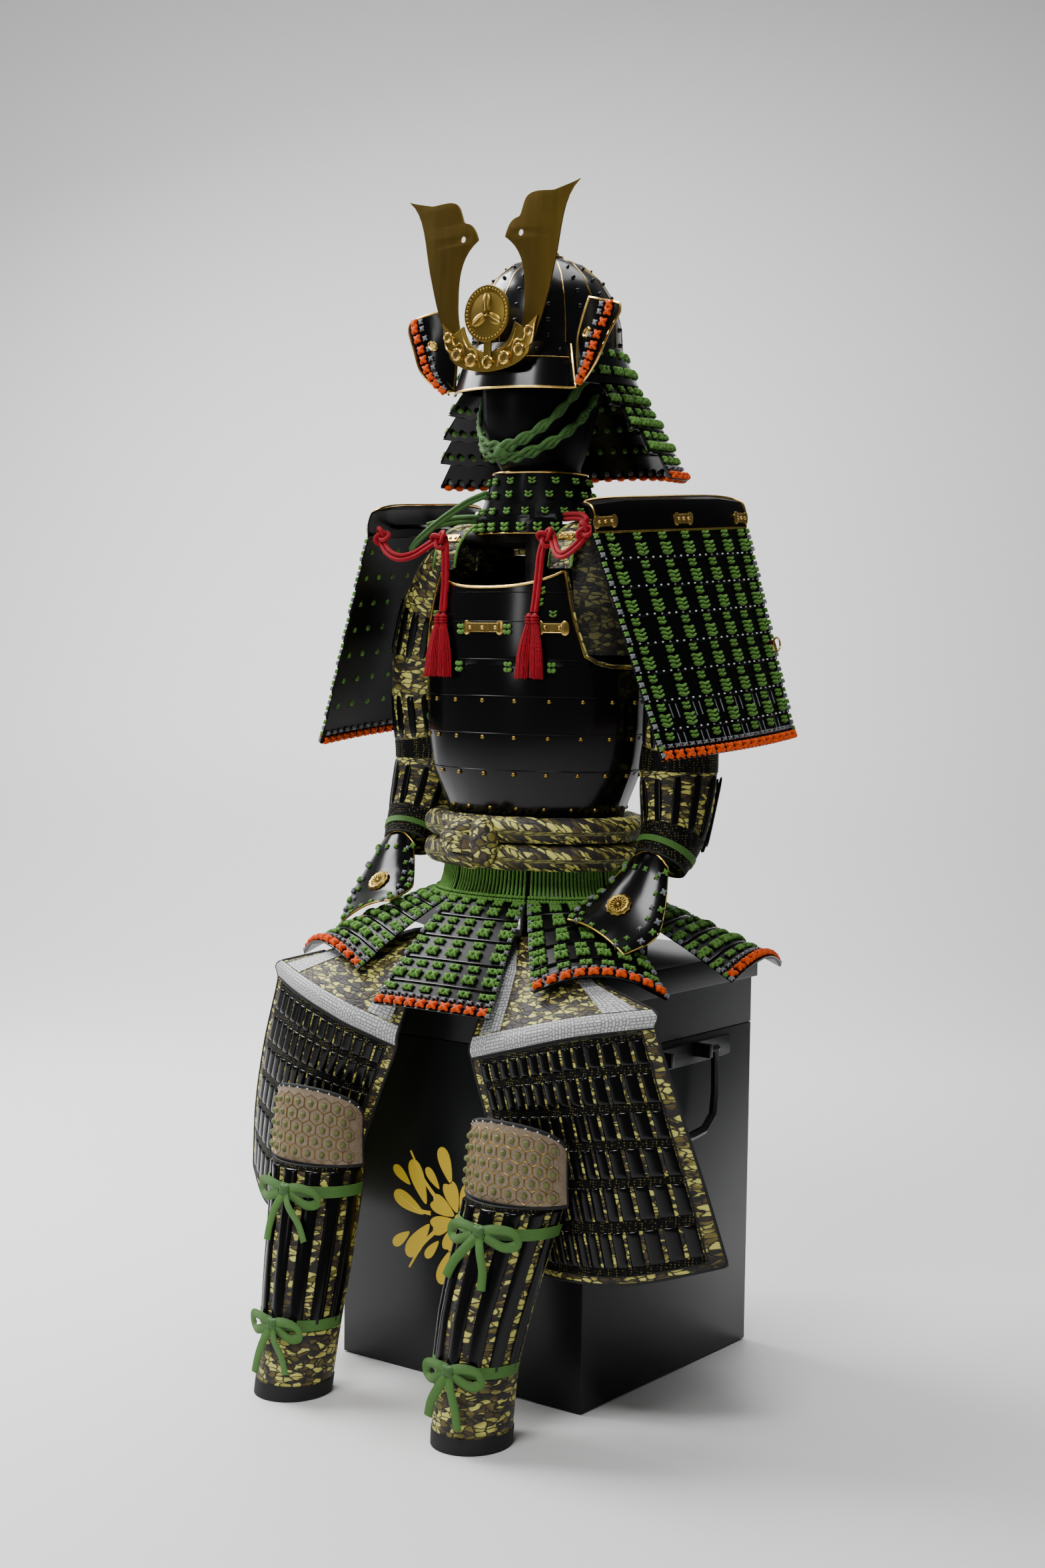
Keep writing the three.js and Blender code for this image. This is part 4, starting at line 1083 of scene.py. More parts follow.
class Lacing(Cast):
    """Gathers knots, braids, fittings and rims set down on patches."""

    def knot(self, patch: Patch, u: float, v: float, wide: float, high: float, deep: float = 6.0,
             slot: int = 0,
             lift: float = 0.0) -> None:
        """Adds a crossed knot of cord.

        Args:
            patch: the surface that it sits on.
            u: its share across.
            v: its share down.
            wide: its width in mm.
            high: its height in mm.
            deep: its thickness in mm.
            slot: its finish's number.
            lift: its distance off the surface in mm.
        """
        p, across, down, out = patch.frame(u, v)
        centre = p + out * (lift + deep * 0.25)
        for sign in (1, -1):
            along = unit(across * sign * wide + down * high)
            beside = unit(np.cross(out, along))
            self.blob(centre, beside * min(wide, high) * 0.27, out * deep * 0.5,
                      along * math.hypot(wide, high) * 0.46, 6, 4, slot)

    def braid(self, patch: Patch, u: float, v: float, wide: float, high: float, tiers: int,
              deep: float = 6.0,
              slot: int = 0, lift: float = 0.0) -> None:
        """Adds a braid of slanting cords in tiers.

        Args:
            patch: the surface that it sits on.
            u: its share across.
            v: its share down.
            wide: its width in mm.
            high: its height in mm.
            tiers: how many tiers it has.
            deep: its thickness in mm.
            slot: its finish's number.
            lift: its distance off the surface in mm.
        """
        p, across, down, out = patch.frame(u, v)
        for tier in range(tiers):
            centre = p + out * (lift + deep * 0.25) + down * high * ((tier + 0.5) / tiers - 0.5)
            for sign in (1, -1):
                along = unit(across * sign * wide * 0.5 - down * high / tiers * 0.9)
                self.blob(centre + across * sign * wide * 0.23, np.cross(out, along) * high / tiers * 0.42,
                          out * deep * 0.5, along * wide * 0.3, 6, 4, slot)

    def rim(self, patch: Patch, line: Sequence[tuple[float, float]], radius: float = 1.6, lift: float = 1.0,
            closed: bool = False, slot: int = 0, sides: int = 6) -> None:
        """Adds a rim along a line of the patch."""
        self.tube([patch.lifted(u, v, lift) for u, v in line], radius, sides, closed, slot=slot)

    def fitting(self, shape: Stamp, patch: Patch, u: float, v: float, size: Point,
                slot: int = 0, lift: float = 0.0, turn: float = 0.0) -> None:
        """Sets down a stamp on a patch.

        Args:
            shape: the stamp.
            patch: the surface that it sits on.
            u: its share across.
            v: its share down.
            size: its half sizes and height.
            slot: its finish's number.
            lift: its distance off the surface in mm.
            turn: its turn in degrees.
        """
        p, across, down, out = patch.frame(u, v)
        c, s = math.cos(math.radians(turn)), math.sin(math.radians(turn))
        x, y = across * c + down * s, down * c - across * s
        self.stamp(shape, p + out * lift, x * size[0], y * size[1], out * size[2], slot)


def smoothing() -> bpy.types.NodeTree:
    """Makes the node group that shades a solid smooth where its faces meet at a small angle.

    Returns:
        The group, made on first use.
    """
    found = bpy.data.node_groups.get("SmoothShading")
    if found:
        return found
    group = bpy.data.node_groups.new("SmoothShading", "GeometryNodeTree")
    group.interface.new_socket("Geometry", in_out="INPUT", socket_type="NodeSocketGeometry")
    group.interface.new_socket("Geometry", in_out="OUTPUT", socket_type="NodeSocketGeometry")
    start, end = group.nodes.new("NodeGroupInput"), group.nodes.new("NodeGroupOutput")
    angle = group.nodes.new("GeometryNodeInputMeshEdgeAngle")
    small = group.nodes.new("FunctionNodeCompare")
    small.operation = "LESS_THAN"
    small.inputs["B"].default_value = math.radians(SMOOTH_BELOW)
    edges, faces = group.nodes.new("GeometryNodeSetShadeSmooth"), group.nodes.new("GeometryNodeSetShadeSmooth")
    edges.domain, faces.domain = "EDGE", "FACE"
    plain = group.nodes.new("GeometryNodeRemoveAttribute")
    plain.inputs["Name"].default_value = "custom_normal"
    group.links.new(angle.outputs["Unsigned Angle"], small.inputs["A"])
    group.links.new(start.outputs[0], plain.inputs["Geometry"])
    group.links.new(plain.outputs["Geometry"], edges.inputs["Geometry"])
    group.links.new(small.outputs["Result"], edges.inputs["Shade Smooth"])
    group.links.new(edges.outputs["Geometry"], faces.inputs["Geometry"])
    group.links.new(faces.outputs["Geometry"], end.inputs[0])
    return group


def refinish(finish: Finish, *nodes: str, edge: float = 0.0) -> None:
    """Gives CAD nodes a finish.

    Args:
        finish: the finish.
        *nodes: the nodes' names.
        edge: the radius in mm that their edges get.
    """
    for name in nodes:
        piece = bpy.data.objects[name]
        piece.data.materials.clear()
        piece.data.materials.append(finish.material())
        piece.modifiers.new("Weld", "WELD").merge_threshold = 0.01 * MM
        if edge:
            soft = piece.modifiers.new("Edge", "BEVEL")
            soft.width = edge * MM
            soft.segments = 2
            soft.limit_method = "ANGLE"
            soft.angle_limit = math.radians(BEVEL_ABOVE)
        piece.modifiers.new("Smooth", "NODES").node_group = smoothing()


def both(name: str) -> tuple[str, str]:
    """Returns the names of a pair of nodes."""
    return f"{name}_left", f"{name}_right"


# Cords


@dataclass(frozen=True)
class ChestCords:
    """Crimson cords over the chest, each a pair of strands with a knot and a tassel.

    Args:
        radius: radius of one strand.
        apart: half the distance between the pair's lines.
        strands: strands of half a tassel.
        golden: turn in radians from one strand to the next, so that they fill a disc evenly.
        route: the pair's middle line on the left.
    """

    radius: float = 3.0
    apart: float = 3.1
    strands: int = 52
    golden: float = 2.39996
    route: tuple[Point, ...] = (
        (170, -172, 1117), (163, -177, 1104), (150, -180, 1092), (134, -177, 1086), (118, -168, 1090),
        (104, -155, 1102), (94, -145, 1112), (87, -143, 1113), (82, -146, 1104), (79, -149, 1088),
        (77.5, -150, 1068), (76.5, -152, 1046), (76, -155, 1026), (75.5, -157, 1014),
    )

    def lines(self, side: Side) -> list[list[Array]]:
        """Draws the two strands on a side.

        Args:
            side: the armour's left or right.

        Returns:
            The strands' lines.
        """
        middle = smooth_path([side.at(vec(*p)) for p in self.route], 90)
        lines: list[list[Array]] = [[], []]
        for i, p in enumerate(middle):
            along = unit(middle[min(i + 1, 90)] - middle[max(i - 1, 0)])
            beside = unit(np.cross(along, vec(0, -1, 0.25)))
            for line, sign in zip(lines, (1, -1)):
                line.append(p + beside * sign * self.apart)
        return lines

    def build(self) -> None:
        """Builds the cords with their tassels."""
        for side in Side:
            tassel = self.tassel(side)
            lines = self.lines(side)
            for number, line in enumerate(lines):
                cast = Cast()
                cast.tube(line, self.radius, 8)
                cord = cast.build(f"ChestCord{side.title}{number + 1}", [CRIMSON], crease=60)
                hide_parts(*(["chest_cord_" + side.label] if number == 0 else []))
                path = [list(p * MM) for p in line]
                length = sum(float(np.linalg.norm(b - a)) for a, b in zip(line, line[1:])) * MM
                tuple(path[0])
                log(cord)

    def tassel(self, side: Side) -> bpy.types.Object:
        """Builds a tassel with its knots.

        Args:
            side: the armour's left or right.

        Returns:
            The piece.
        """
        cast = Lacing()
        x, y, z = self.route[-1]
        for twin in (-1, 1):
            head = side.at(vec(x + twin * 4.5, y - 4, z - 9))
            cast.ball(head, (5.4, 5.0, 8.4), 12, 8)
            for level in (-3.5, 0.0, 3.5):
                ring = [head + vec(5.3 * math.cos(t), 5.0 * math.sin(t), level) for t in turns(16)]
                cast.tube(ring, 1.0, 5, True)
        rng = np.random.default_rng(5)
        for twin in (-1, 1):
            for i in range(self.strands):
                turn, reach = i * self.golden, math.sqrt((i + 0.5) / self.strands)
                out, deep = math.cos(turn) * reach, math.sin(turn) * reach
                start = vec(x + twin * 4 + 3.2 * out, y - 4 + 2.6 * deep, z - 9)
                end = vec(x + twin * 12.0 + 10.5 * out, y - 9.5 + 4.6 * deep, z - 86 + 3.5 * rng.random())
                middle = (start + end) / 2 + vec(twin * 1.6 + 2.2 * out, -1.5, 0) + rng.normal(0, 0.4, 3)
                cast.tube([side.at(p) for p in smooth_path([start, middle, end], 5)], 0.85, 4)
        for centre, reach, tilt in (((88, -149, 1110), 4.1, 0.4), ((167, -175, 1115), 3.9, 1.5)):
            middle = side.at(vec(*centre))
            loop = []
            for t in turns(72):
                a, b = math.sin(t) + 2 * math.sin(2 * t), math.cos(t) - 2 * math.cos(2 * t)
                loop.append(middle + reach * vec(a * math.cos(tilt) - b * math.sin(tilt),
                                                 -0.9 * math.sin(3 * t) - 0.4,
                                                 a * math.sin(tilt) + b * math.cos(tilt)))
            cast.tube(loop, 3.1, 7, True)
        made = cast.build(f"Tassel{side.title}", [CRIMSON], crease=60)
        return stand_for(made, "crimson_cord", "tassel_" + side.label)


@dataclass(frozen=True)
class ChinCord:
    """Green braided cord under the chin, in three strands, with its knot.

    Args:
        head: rows of height, depth and half sizes of the head form.
        over: angle and height of the upper run, from the armour's right to the middle.
        under: the same of the lower run.
        twist: turn in radians of the braid at each step.
    """

    head: tuple[tuple[float, ...], ...] = (
        (1150, -40, 50, 50), (1196, -40, 50, 52), (1214, -48, 52, 66), (1240, -52, 64, 80),
        (1290, -46, 72, 88),
        (1340, -40, 76, 92), (1390, -36, 72, 86), (1440, -34, 60, 68), (1466, -34, 42, 47),
        (1481.4, -34, 26, 29),
    )
    over: tuple[tuple[float, float], ...] = ((-84, 1326), (-70, 1296), (-50, 1262), (-25, 1238), (0, 1230))
    under: tuple[tuple[float, float], ...] = ((-100, 1300), (-84, 1268), (-60, 1240), (-30, 1222),
                                              (0, 1217))
    twist: float = 0.62

    def beside(self, angle: float, z: float, offset: float) -> Array:
        """Returns a point off the head form."""
        row = row_at(self.head, 0, z)
        return oval(angle, row[2] + offset, row[3] + offset, row[1], z)

    def build(self) -> bpy.types.Object:
        """Builds the cord.

        Returns:
            The piece.
        """
        cast = Lacing()
        for line in (self.over, self.under):
            whole = [*line, *((-a, z) for a, z in reversed(line[:-1]))]
            for strand in range(3):
                knots = [
                    self.beside(a, z + 3.6 * (strand - 1), 5.8 + min(max((1250 - z) * 0.14, 0), 4.5))
                    for a, z in whole
                ]
                path = smooth_path(knots, 120)
                woven = []
                for i, p in enumerate(path):
                    phase = i * self.twist + strand * 2.094
                    woven.append(p + vec(0, -1.4 * math.cos(phase), 1.9 * math.sin(phase)))
                cast.tube(woven, 3.4, 6)
        front = self.beside(0, 1226, 9.5)
        for turn in (1, -1):
            cast.blob(front, vec(0, 7.5, 0), vec(4, 0, 6.5 * turn), vec(11, 0, -7 * turn), 12, 8)
        cast.ball(front + vec(0, -3, 0), (8, 6, 7.5), 12, 8)
        made = cast.build("ChinCord", [DARK_GREEN], crease=60)
        return stand_for(made, "green_cord", "chin_cord")


# Helmet


@dataclass(frozen=True)
class Helmet:
    """Dressings of the helmet: ridges, rivets, rims, knots, crest relief and rear loop.

    Args:
        a: half width of the bowl.
        b: half depth of the bowl.
        base: height of its lower edge.
        rise: height of its top over that.
        plates: plates round it.
        bowl: rows of share of the rise and scale in plan.
        guard: neck guard's rows of height in front and behind, half sizes and angle of its front ends.
        visor: rows of height, half sizes and end angle.
        turnback: rows of the turned-back plate's inner and outer edge points on the left.
    """

    a: float = 98.0
    b: float = 105.0
    base: float = 1360.0
    rise: float = 127.0
    plates: int = 14
    bowl: tuple[tuple[float, float], ...] = (
        (0, 1), (0.3, 0.975), (0.55, 0.88), (0.75, 0.72), (0.9, 0.49), (0.985, 0.2),
    )
    guard: tuple[tuple[float, ...], ...] = (
        (1366, 1366, 99.4, 106.4, 56.4), (1312, 1322, 119, 121, 57), (1283, 1294, 138, 137, 72),
        (1253, 1266, 156, 153, 80), (1222, 1238, 173, 168, 87), (1190, 1208, 190, 183, 94),
    )
    visor: tuple[tuple[float, ...], ...] = (
        (1364, 98.9, 105.9, 55.4), (1345, 106, 116, 55.8), (1324, 112, 123, 56.1), (1304, 118, 129, 56.4),
    )
    turnback: tuple[tuple[float, ...], ...] = (
        (103.5, -102, 1311, 108, -107, 1307), (101, -102, 1328, 130, -116, 1320),
        (99, -102, 1346, 148, -121, 1340),
        (102, -105, 1370, 160, -119, 1366), (113, -108, 1398, 174, -114, 1394),
        (123, -110, 1418, 172, -112, 1406),
    )

    def bowl_patch(self) -> Patch:
        """Describes the bowl's outside, by angle and share of its rise.

        Returns:
            The surface.
        """

        def at(angle: float, share: float) -> Array:
            """Returns a point under the outside."""
            scale = float(np.interp(share, *zip(*self.bowl)))
            return oval(angle, (self.a - 2) * scale, (self.b - 2) * scale, HELM_Y,
                        self.base + self.rise * share)

        inner = Patch(at, vec(0, HELM_Y, self.base))
        return Patch(lambda angle, share: inner.lifted(angle, share, 2.0), inner.inside)

    def visor_patch(self) -> Patch:
        """Describes the visor's outside, by share of its end angle and row.

        Returns:
            The surface.
        """

        def at(u: float, v: float) -> Array:
            """Returns a point of the outside."""
            row = blend_rows(self.visor, v)
            return oval(u * row[3], row[1] + 2.4, row[2] + 2.4, HELM_Y, row[0])

        return Patch(at, vec(0, HELM_Y, 1335))

    def guard_patch(self, lame: int) -> Patch:
        """Describes one lame of the neck guard, by share round it and share down it.

        Args:
            lame: the lame's number from the top.

        Returns:
            The surface.
        """

        def at(u: float, v: float) -> Array:
            """Returns a point of the lame's outside."""
            row = blend_linear(self.guard, lame + v)
            start = self.guard[lame + 1][4]
            angle = start + (360 - 2 * start) * u
            back = (1 - math.cos(u * math.tau)) / 2
            thick = lerp(1.2, 4, v)
            return oval(angle, row[2] + thick, row[3] + thick, HELM_Y, lerp(row[0], row[1], back))

        return Patch(at, vec(0, HELM_Y, 1300))

    def turnback_patch(self, side: Side) -> Patch:
        """Describes the turned-back plate's front, by share out and share up.

        Args:
            side: the armour's left or right.

        Returns:
            The surface.
        """

        def at(u: float, v: float) -> Array:
            """Returns a point of the front."""
            row = blend_rows(self.turnback, v * 5)
            p = vec(*row[:3]) * (1 - u) + vec(*row[3:]) * u - vec(0, 7 * math.sin(math.pi * u), 0)
            return side.at(p + vec(0, -2.4, 0))

        return Patch(at, vec(0, 60, 1360))

    def build(self, stamps: StampSet) -> None:
        """Builds the helmet's dressings.

        Args:
            stamps: the shared hard shapes.
        """
        refinish(BOWL_BLACK, "helmet_bowl")
        refinish(LACQUER, "visor", "neck_guard", *both("turnback"))
        refinish(GILT, "helmet_top", edge=0.5)
        for side in Side:
            self.horn(side)
        refinish(OLD_GILT, "horn_base", "crest_disc", edge=0.5)
        self.bowl_work(stamps)
        self.guard_work()
        self.turnback_work(stamps)
        self.crest_work(stamps)
        loop = Cast()
        ring = [vec(13 * math.cos(t), 61, 1452 + 15 * math.sin(t)) for t in turns(32)]
        loop.tube(ring, 3.1, 8, True)
        loop.ball(vec(0, 59.5, 1436), (7, 4, 5), 12, 8)
        stand_for(loop.build("HelmetLoop", [CRIMSON], crease=60), "crimson_cord", "helmet_loop")

    def bowl_work(self, stamps: StampSet) -> None:
        """Builds the bowl's gilt ridges, its rivets and the rims.

        Args:
            stamps: the shared hard shapes.
        """
        bowl, visor = self.bowl_patch(), self.visor_patch()
        gold = Lacing()
        for plate in range(self.plates):
            angle = plate * 360 / self.plates
            gold.rim(bowl, [(angle, s) for s in steps(0.02, 0.95, 14)], 0.8, 1.2)
        gold.rim(bowl, [(a, 0.012) for a in steps(0, 355, 71)], 1.5, 1.2, True)
        edge = [(1, s) for s in steps(0.1, 2.9, 8)] + [(u, 2.97) for u in steps(1, -1, 30)[1:-1]]
        edge += [(-1, s) for s in steps(2.9, 0.1, 8)]
        gold.rim(visor, edge, 1.7, -0.9)
        gold.rim(visor, [(u, 1.05) for u in steps(-0.95, 0.95, 30)], 0.8, 0.3)
        gold.fitting(stamps.flower, bowl, 0, 0.965, (1, 1, 1))
        log(gold.build("HelmetGold", [GILT]))
        rivets = Lacing()
        for plate in range(self.plates):
            for row, share in enumerate((0.1, 0.26, 0.42, 0.58, 0.73, 0.85)):
                shrink = (1, 1, 0.95, 0.88, 0.78, 0.66)[row]
                rivets.fitting(stamps.rivet, bowl, (plate + 0.5) * 360 / self.plates, share,
                               (3.8 * shrink, 3.8 * shrink, 4.4), lift=-0.6)
        for u in steps(-0.85, 0.85, 6):
            rivets.fitting(stamps.rivet, visor, u, 0.55, (2.6, 2.6, 1.9))
        log(rivets.build("HelmetRivets", [BOWL_BLACK]))

    def guard_work(self) -> None:
        """Builds the neck guard's knots and its dotted edges."""
        work = Lacing()
        for lame in range(5):
            patch = self.guard_patch(lame)
            count = 19 + lame * 2
            for i in range(count):
                u = (i + 0.5) / count
                work.knot(patch, u, 0.2, 10, 11, 7)
                if lame < 4:
                    for shift in (-0.0072, 0.0072):
                        work.knot(patch, u + shift, 0.66, 9.5, 13, 9)
                    work.ball(patch.lifted(u, 0.6, -6.2), (4.5, 4.5, 4.5))
                else:
                    work.knot(patch, u, 0.52, 11, 6, 5, 1)
                    work.knot(patch, u, 0.84, 16, 11, 9, 2)
                    for low, size, slot in ((0.88, 6.5, 2), (0.66, 3.6, 1)):
                        work.ball(patch.lifted(u, low, -6.0), (size, size, 4.2), 8, 5, slot)
        made = work.build("NeckGuardLacing", [GREEN, SILVER, ORANGE], crease=60)
        log(made)
        gold = Lacing()
        for lame in range(5):
            gold.rim(self.guard_patch(lame), [(u, 0.97) for u in steps(0.003, 0.997, 60)], 0.9, -0.2)
        log(gold.build("NeckGuardEdges", [LAME_BLACK]))

    def turnback_work(self, stamps: StampSet) -> None:
        """Builds the turned-back plates' rims and knots.

        Args:
            stamps: the shared hard shapes.
        """
        gold, knots = Lacing(), Lacing()
        for side in Side:
            patch = self.turnback_patch(side)
            edge = border((0.02, 0.98, 6), (0.03, 0.97, 20), (0.015, 0.985), (0.015, 0.985))
            gold.rim(patch, edge, 1.7, 0.0, True)
            gold.fitting(stamps.flower, patch, 0.42, 0.62, (7.5, 7.5, 5))
            for i in range(9):
                knots.knot(patch, 0.74, 0.09 + i * 0.102, 11, 12, 9, 1)
                knots.knot(patch, 0.54, 0.1 + i * 0.1, 7, 8, 6)
        log(gold.build("TurnbackGold", [GILT]))
        log(knots.build("TurnbackKnots", [SILVER, ORANGE], crease=60))

    def horn(self, side: Side) -> None:
        """Builds one horn as a smooth plate.

        Args:
            side: the armour's left or right.
        """
        bends = (((30, 1336), (50, 1365), (56, 1395), (55, 1420)),
                 ((55, 1420), (55, 1450), (52, 1478), (22, 1496)),
                 ((22, 1496), (26, 1508), (30, 1517), (42, 1519)),
                 ((42, 1519), (48, 1519), (48, 1530), (54, 1541)),
                 ((54, 1541), (62, 1553), (84, 1547), (100, 1547)),
                 ((100, 1547), (112, 1550), (126, 1552), (138, 1556)),
                 ((138, 1556), (108, 1535), (112, 1490), (98, 1444)),
                 ((98, 1444), (88, 1405), (76, 1370), (54, 1339)))
        outline = []
        for p0, p1, p2, p3 in bends:
            for t in steps(0, 1, 9)[:-1]:
                w = ((1 - t) ** 3, 3 * t * (1 - t) ** 2, 3 * t * t * (1 - t), t ** 3)
                outline.append([sum(k * p[i] for k, p in zip(w, (p0, p1, p2, p3))) for i in (0, 1)])
        eye = [[47 + 4.4 * math.cos(t), 1499 - 4.4 * math.sin(t)] for t in turns(24)]
        curve = bpy.data.curves.new(f"Horn{side.title}", "CURVE")
        curve.dimensions = "2D"
        curve.fill_mode = "BOTH"
        curve.extrude = 0.8 * MM
        curve.bevel_depth = 0.4 * MM
        for line in (outline, eye):
            spline = curve.splines.new("POLY")
            spline.points.add(len(line) - 1)
            for point, (x, z) in zip(spline.points, line):
                point.co = (side.value * x * MM, z * MM, 0, 1)
            spline.use_cyclic_u = True
        made = bpy.data.objects.new(curve.name, curve)
        take_up(made)
        made.rotation_euler = (math.radians(90), 0, 0)
        made.location = (0, -158.5 * MM, 0)
        bpy.ops.object.convert(target="MESH")
        bpy.ops.object.transform_apply(location=True, rotation=True, scale=True)
        face_out(30, 0.005)
        made.data.materials.append(HORN_GILT.material())
        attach(made, "root")
        stand_for(made, "gilt", "horn_" + side.label)

    def crest_work(self, stamps: StampSet) -> None:
        """Builds the disc's milled rim and leaf relief, and the base's flowers.

        Args:
            stamps: the shared hard shapes.
        """
        face = Patch(lambda u, v: vec(u, -167.4, 1399 - v), vec(0, 0, 1399))
        disc = Lacing()
        for k, radius in enumerate((35, 29.5)):
            ring = [(radius * math.cos(t), radius * math.sin(t)) for t in turns(60)]
            disc.rim(face, ring, 1.6 - 0.5 * k, 0.0, True)
        for i in range(40):
            t = i / 40 * math.tau
            disc.fitting(stamps.rivet, face, 32.3 * math.cos(t), 32.3 * math.sin(t), (1.9, 1.9, 1.6))
        for i in range(3):
            t = math.radians(i * 120 - 90)
            p = face.at(14.5 * math.cos(t), 14.5 * math.sin(t))
            along = vec(math.cos(t), 0, -math.sin(t))
            disc.blob(p, np.cross(along, vec(0, 1, 0)) * 7.4, vec(0, 3.2, 0), along * 12.5, 14, 10)
            vein = [p - along * 11 + vec(0, -3.4, 0), p + vec(0, -3.9, 0),
                    p + along * 11.5 + vec(0, -1.4, 0)]
            disc.tube(smooth_path(vein, 8), 0.9, 6, slot=1)
        disc.fitting(stamps.flower, face, 0, 0, (4.5, 4.5, 5))
        log(disc.build("CrestRelief", [OLD_GILT, GILT]))
        base = Lacing()
        front = Patch(lambda u, v: vec(u, -163, v), vec(0, 0, 1350))
        for x, z, size in ((0, 1337, 9), (-27, 1341, 9), (27, 1341, 9), (-51, 1350, 8.5), (51, 1350, 8.5),
                           (-66, 1373, 7), (66, 1373, 7)):
            base.fitting(stamps.flower, front, x, z, (size, size, 5.5))
        for sign in (1, -1):
            scrolls = [[(14, 1331), (22, 1352), (33, 1356), (40, 1366), (44, 1378)],
                       [(36, 1333), (44, 1362), (56, 1362), (60, 1372)],
                       [(60, 1352), (70, 1360), (74, 1382)]]
            for line in scrolls:
                path = smooth_path([vec(sign * x, -163.4, z) for x, z in line], 14)
                base.tube(path, lambda t: 2.0 - 1.1 * t, 6)
        log(base.build("CrestBaseRelief", [GILT]))


# Cuirass


@dataclass(frozen=True)
class Cuirass:
    """Dressings of the cuirass, its straps and its throat guard.

    Args:
        rows: rows of height and inner half sizes.
    """

    rows: tuple[Point, ...] = (
        (751, 128, 96), (792, 148, 111), (852, 158, 116), (918, 163, 118), (1002, 163, 118),
        (1048, 156, 113),
        (1075, 148, 106), (1110, 140, 97),
    )

    def patch(self, thick: float = 3.0) -> Patch:
        """Describes the outside by angle and minus its height, so that it runs down.

        Args:
            thick: thickness of the wall.

        Returns:
            The surface.
        """

        def at(angle: float, depth: float) -> Array:
            """Returns a point of the outside."""
            row = row_at(self.rows, 0, -depth)
            return oval(angle, row[1] + thick, row[2] + thick, BODY_Y, -depth)

        return Patch(at, vec(0, BODY_Y, 900))

    def angle_at(self, x: float, z: float) -> float:
        """Returns the angle at which the front has a given X at a height."""
        row = row_at(self.rows, 0, z)
        return math.degrees(math.asin(max(-1, min(1, x / (row[1] + 3)))))

    def build(self, stamps: StampSet) -> None:
        """Builds the cuirass's dressings.

        Args:
            stamps: the shared hard shapes.
        """
        refinish(LACQUER, "cuirass_front", "cuirass_back", "throat_guard")
        front, back = self.patch(), self.patch(2.6)
        gold, rivets, lace, cloth = Lacing(), Lacing(), Lacing(), Lacing()
        for z in (899, 851, 803, 757):
            for i in range(21):
                angle = (i - 10) * 17.2
                patch = front if abs(angle) < 88 else back
                rivets.fitting(stamps.rivet, patch, angle, -z, (3.2, 3.2, 2.6))
        for z in (905, 856, 808):
            for i, patch in ((0, front), (1, back)):
                turn = 180 * i
                rivets.rim(patch, [(turn + a, -z) for a in steps(-88, 88, 40)], 0.7, 0.2, slot=1)
        for z in (953, 1002, 1040):
            end = 48 if z < 1000 else 43
            rivets.rim(front, [(a, -z) for a in steps(-end, end, 30)], 0.6, 0.2, slot=1)
        neck = [(a, -(1046.5 + 22 * (abs(a) / 42) ** 2.5)) for a in steps(-41.5, 41.5, 36)]
        gold.rim(front, neck, 1.9, 0.2)
        for sign in (1, -1):
            line = [(sign * e, -z) for z, e in (
                (1068, 42), (1048, 43), (1030, 44), (1016, 45), (1002, 46), (980, 49), (958, 52), (950, 58),
                (945.5, 66), (944.5, 76), (944.5, 88))]
            gold.rim(front, line, 1.7, 0.0)
            cloth.rim(front, [(a + sign * 0.6, d) for a, d in line], 3.4, -2.2, slot=0)
            rear = [(180 + sign * e, -z) for z, e in (
                (1092, 52), (1050, 54), (1002, 55), (970, 58), (951, 64), (945, 76), (944.5, 88))]
            gold.rim(back, rear, 1.7, 0.0)
        gold.rim(back, [(180 + a, -1095.5) for a in steps(-51, 51, 20)], 1.7, 0.0)
        self.fittings(stamps, gold, lace)
        self.bow(lace)
        self.throat(gold, lace)
        log(gold.build("CuirassGold", [GILT]))
        log(rivets.build("CuirassRivets", [OLD_GILT, LACQUER]))
        log(lace.build("CuirassLacing", [GREEN, RIBBON], crease=60))
        log(cloth.build("CuirassPiping", [BROCADE], crease=60))
        self.straps(stamps)

    def fittings(self, stamps: StampSet, gold: Lacing, lace: Lacing) -> None:
        """Adds the chest's gilt plates and knots.

        Args:
            stamps: the shared hard shapes.
            gold: the mesh for gilt.
            lace: the mesh for cord.
        """
        front = self.patch()
        for x0, x1 in ((-29, 29), (79, 112), (-112, -79)):
            middle, half = (x0 + x1) / 2, (x1 - x0) / 2
            angle = self.angle_at(middle, 994)
            gold.fitting(stamps.plate, front, angle, -994, (half, 6.2, 1.3), lift=-0.4)
            for sign in (1, -1):
                end = self.angle_at(middle + sign * (half - 2), 994)
                gold.fitting(stamps.petal, front, end, -994, (6.5, 9.5, 2.2), lift=-0.4)
            for share in ((-0.72, 0, 0.72) if half > 20 else (-0.5, 0.5)):
                spot = self.angle_at(middle + share * half, 994)
                gold.fitting(stamps.rivet, front, spot, -994, (3.4, 3.4, 4.2))
        for x, z, wide, high in ((38, 992, 12, 15), (-38, 992, 12, 15), (78, 1027, 13, 11),
                                 (-78, 1027, 13, 11),
                                 (79, 1042, 13, 11), (-79, 1042, 13, 11), (96, 1012, 11, 9),
                                 (-96, 1012, 11, 9)):
            lace.braid(front, self.angle_at(x, z), -z, wide, high, 2, 7)
        for x in (-96, -40, 40, 96):
            lace.braid(front, self.angle_at(x, 943), -943, 12, 15, 2, 8)
        rear = self.patch(2.6)
        for angle in (150, 180, 210):
            gold.fitting(stamps.plate, rear, angle, -1010, (16, 6.2, 1.3), lift=-0.4)
            lace.braid(rear, angle, -985, 12, 15, 2, 7)
        gold.rim(rear, [(180 + 7 * math.cos(t), -1048 + 18 * math.sin(t)) for t in turns(24)],
                 2.4, 3.5, True)

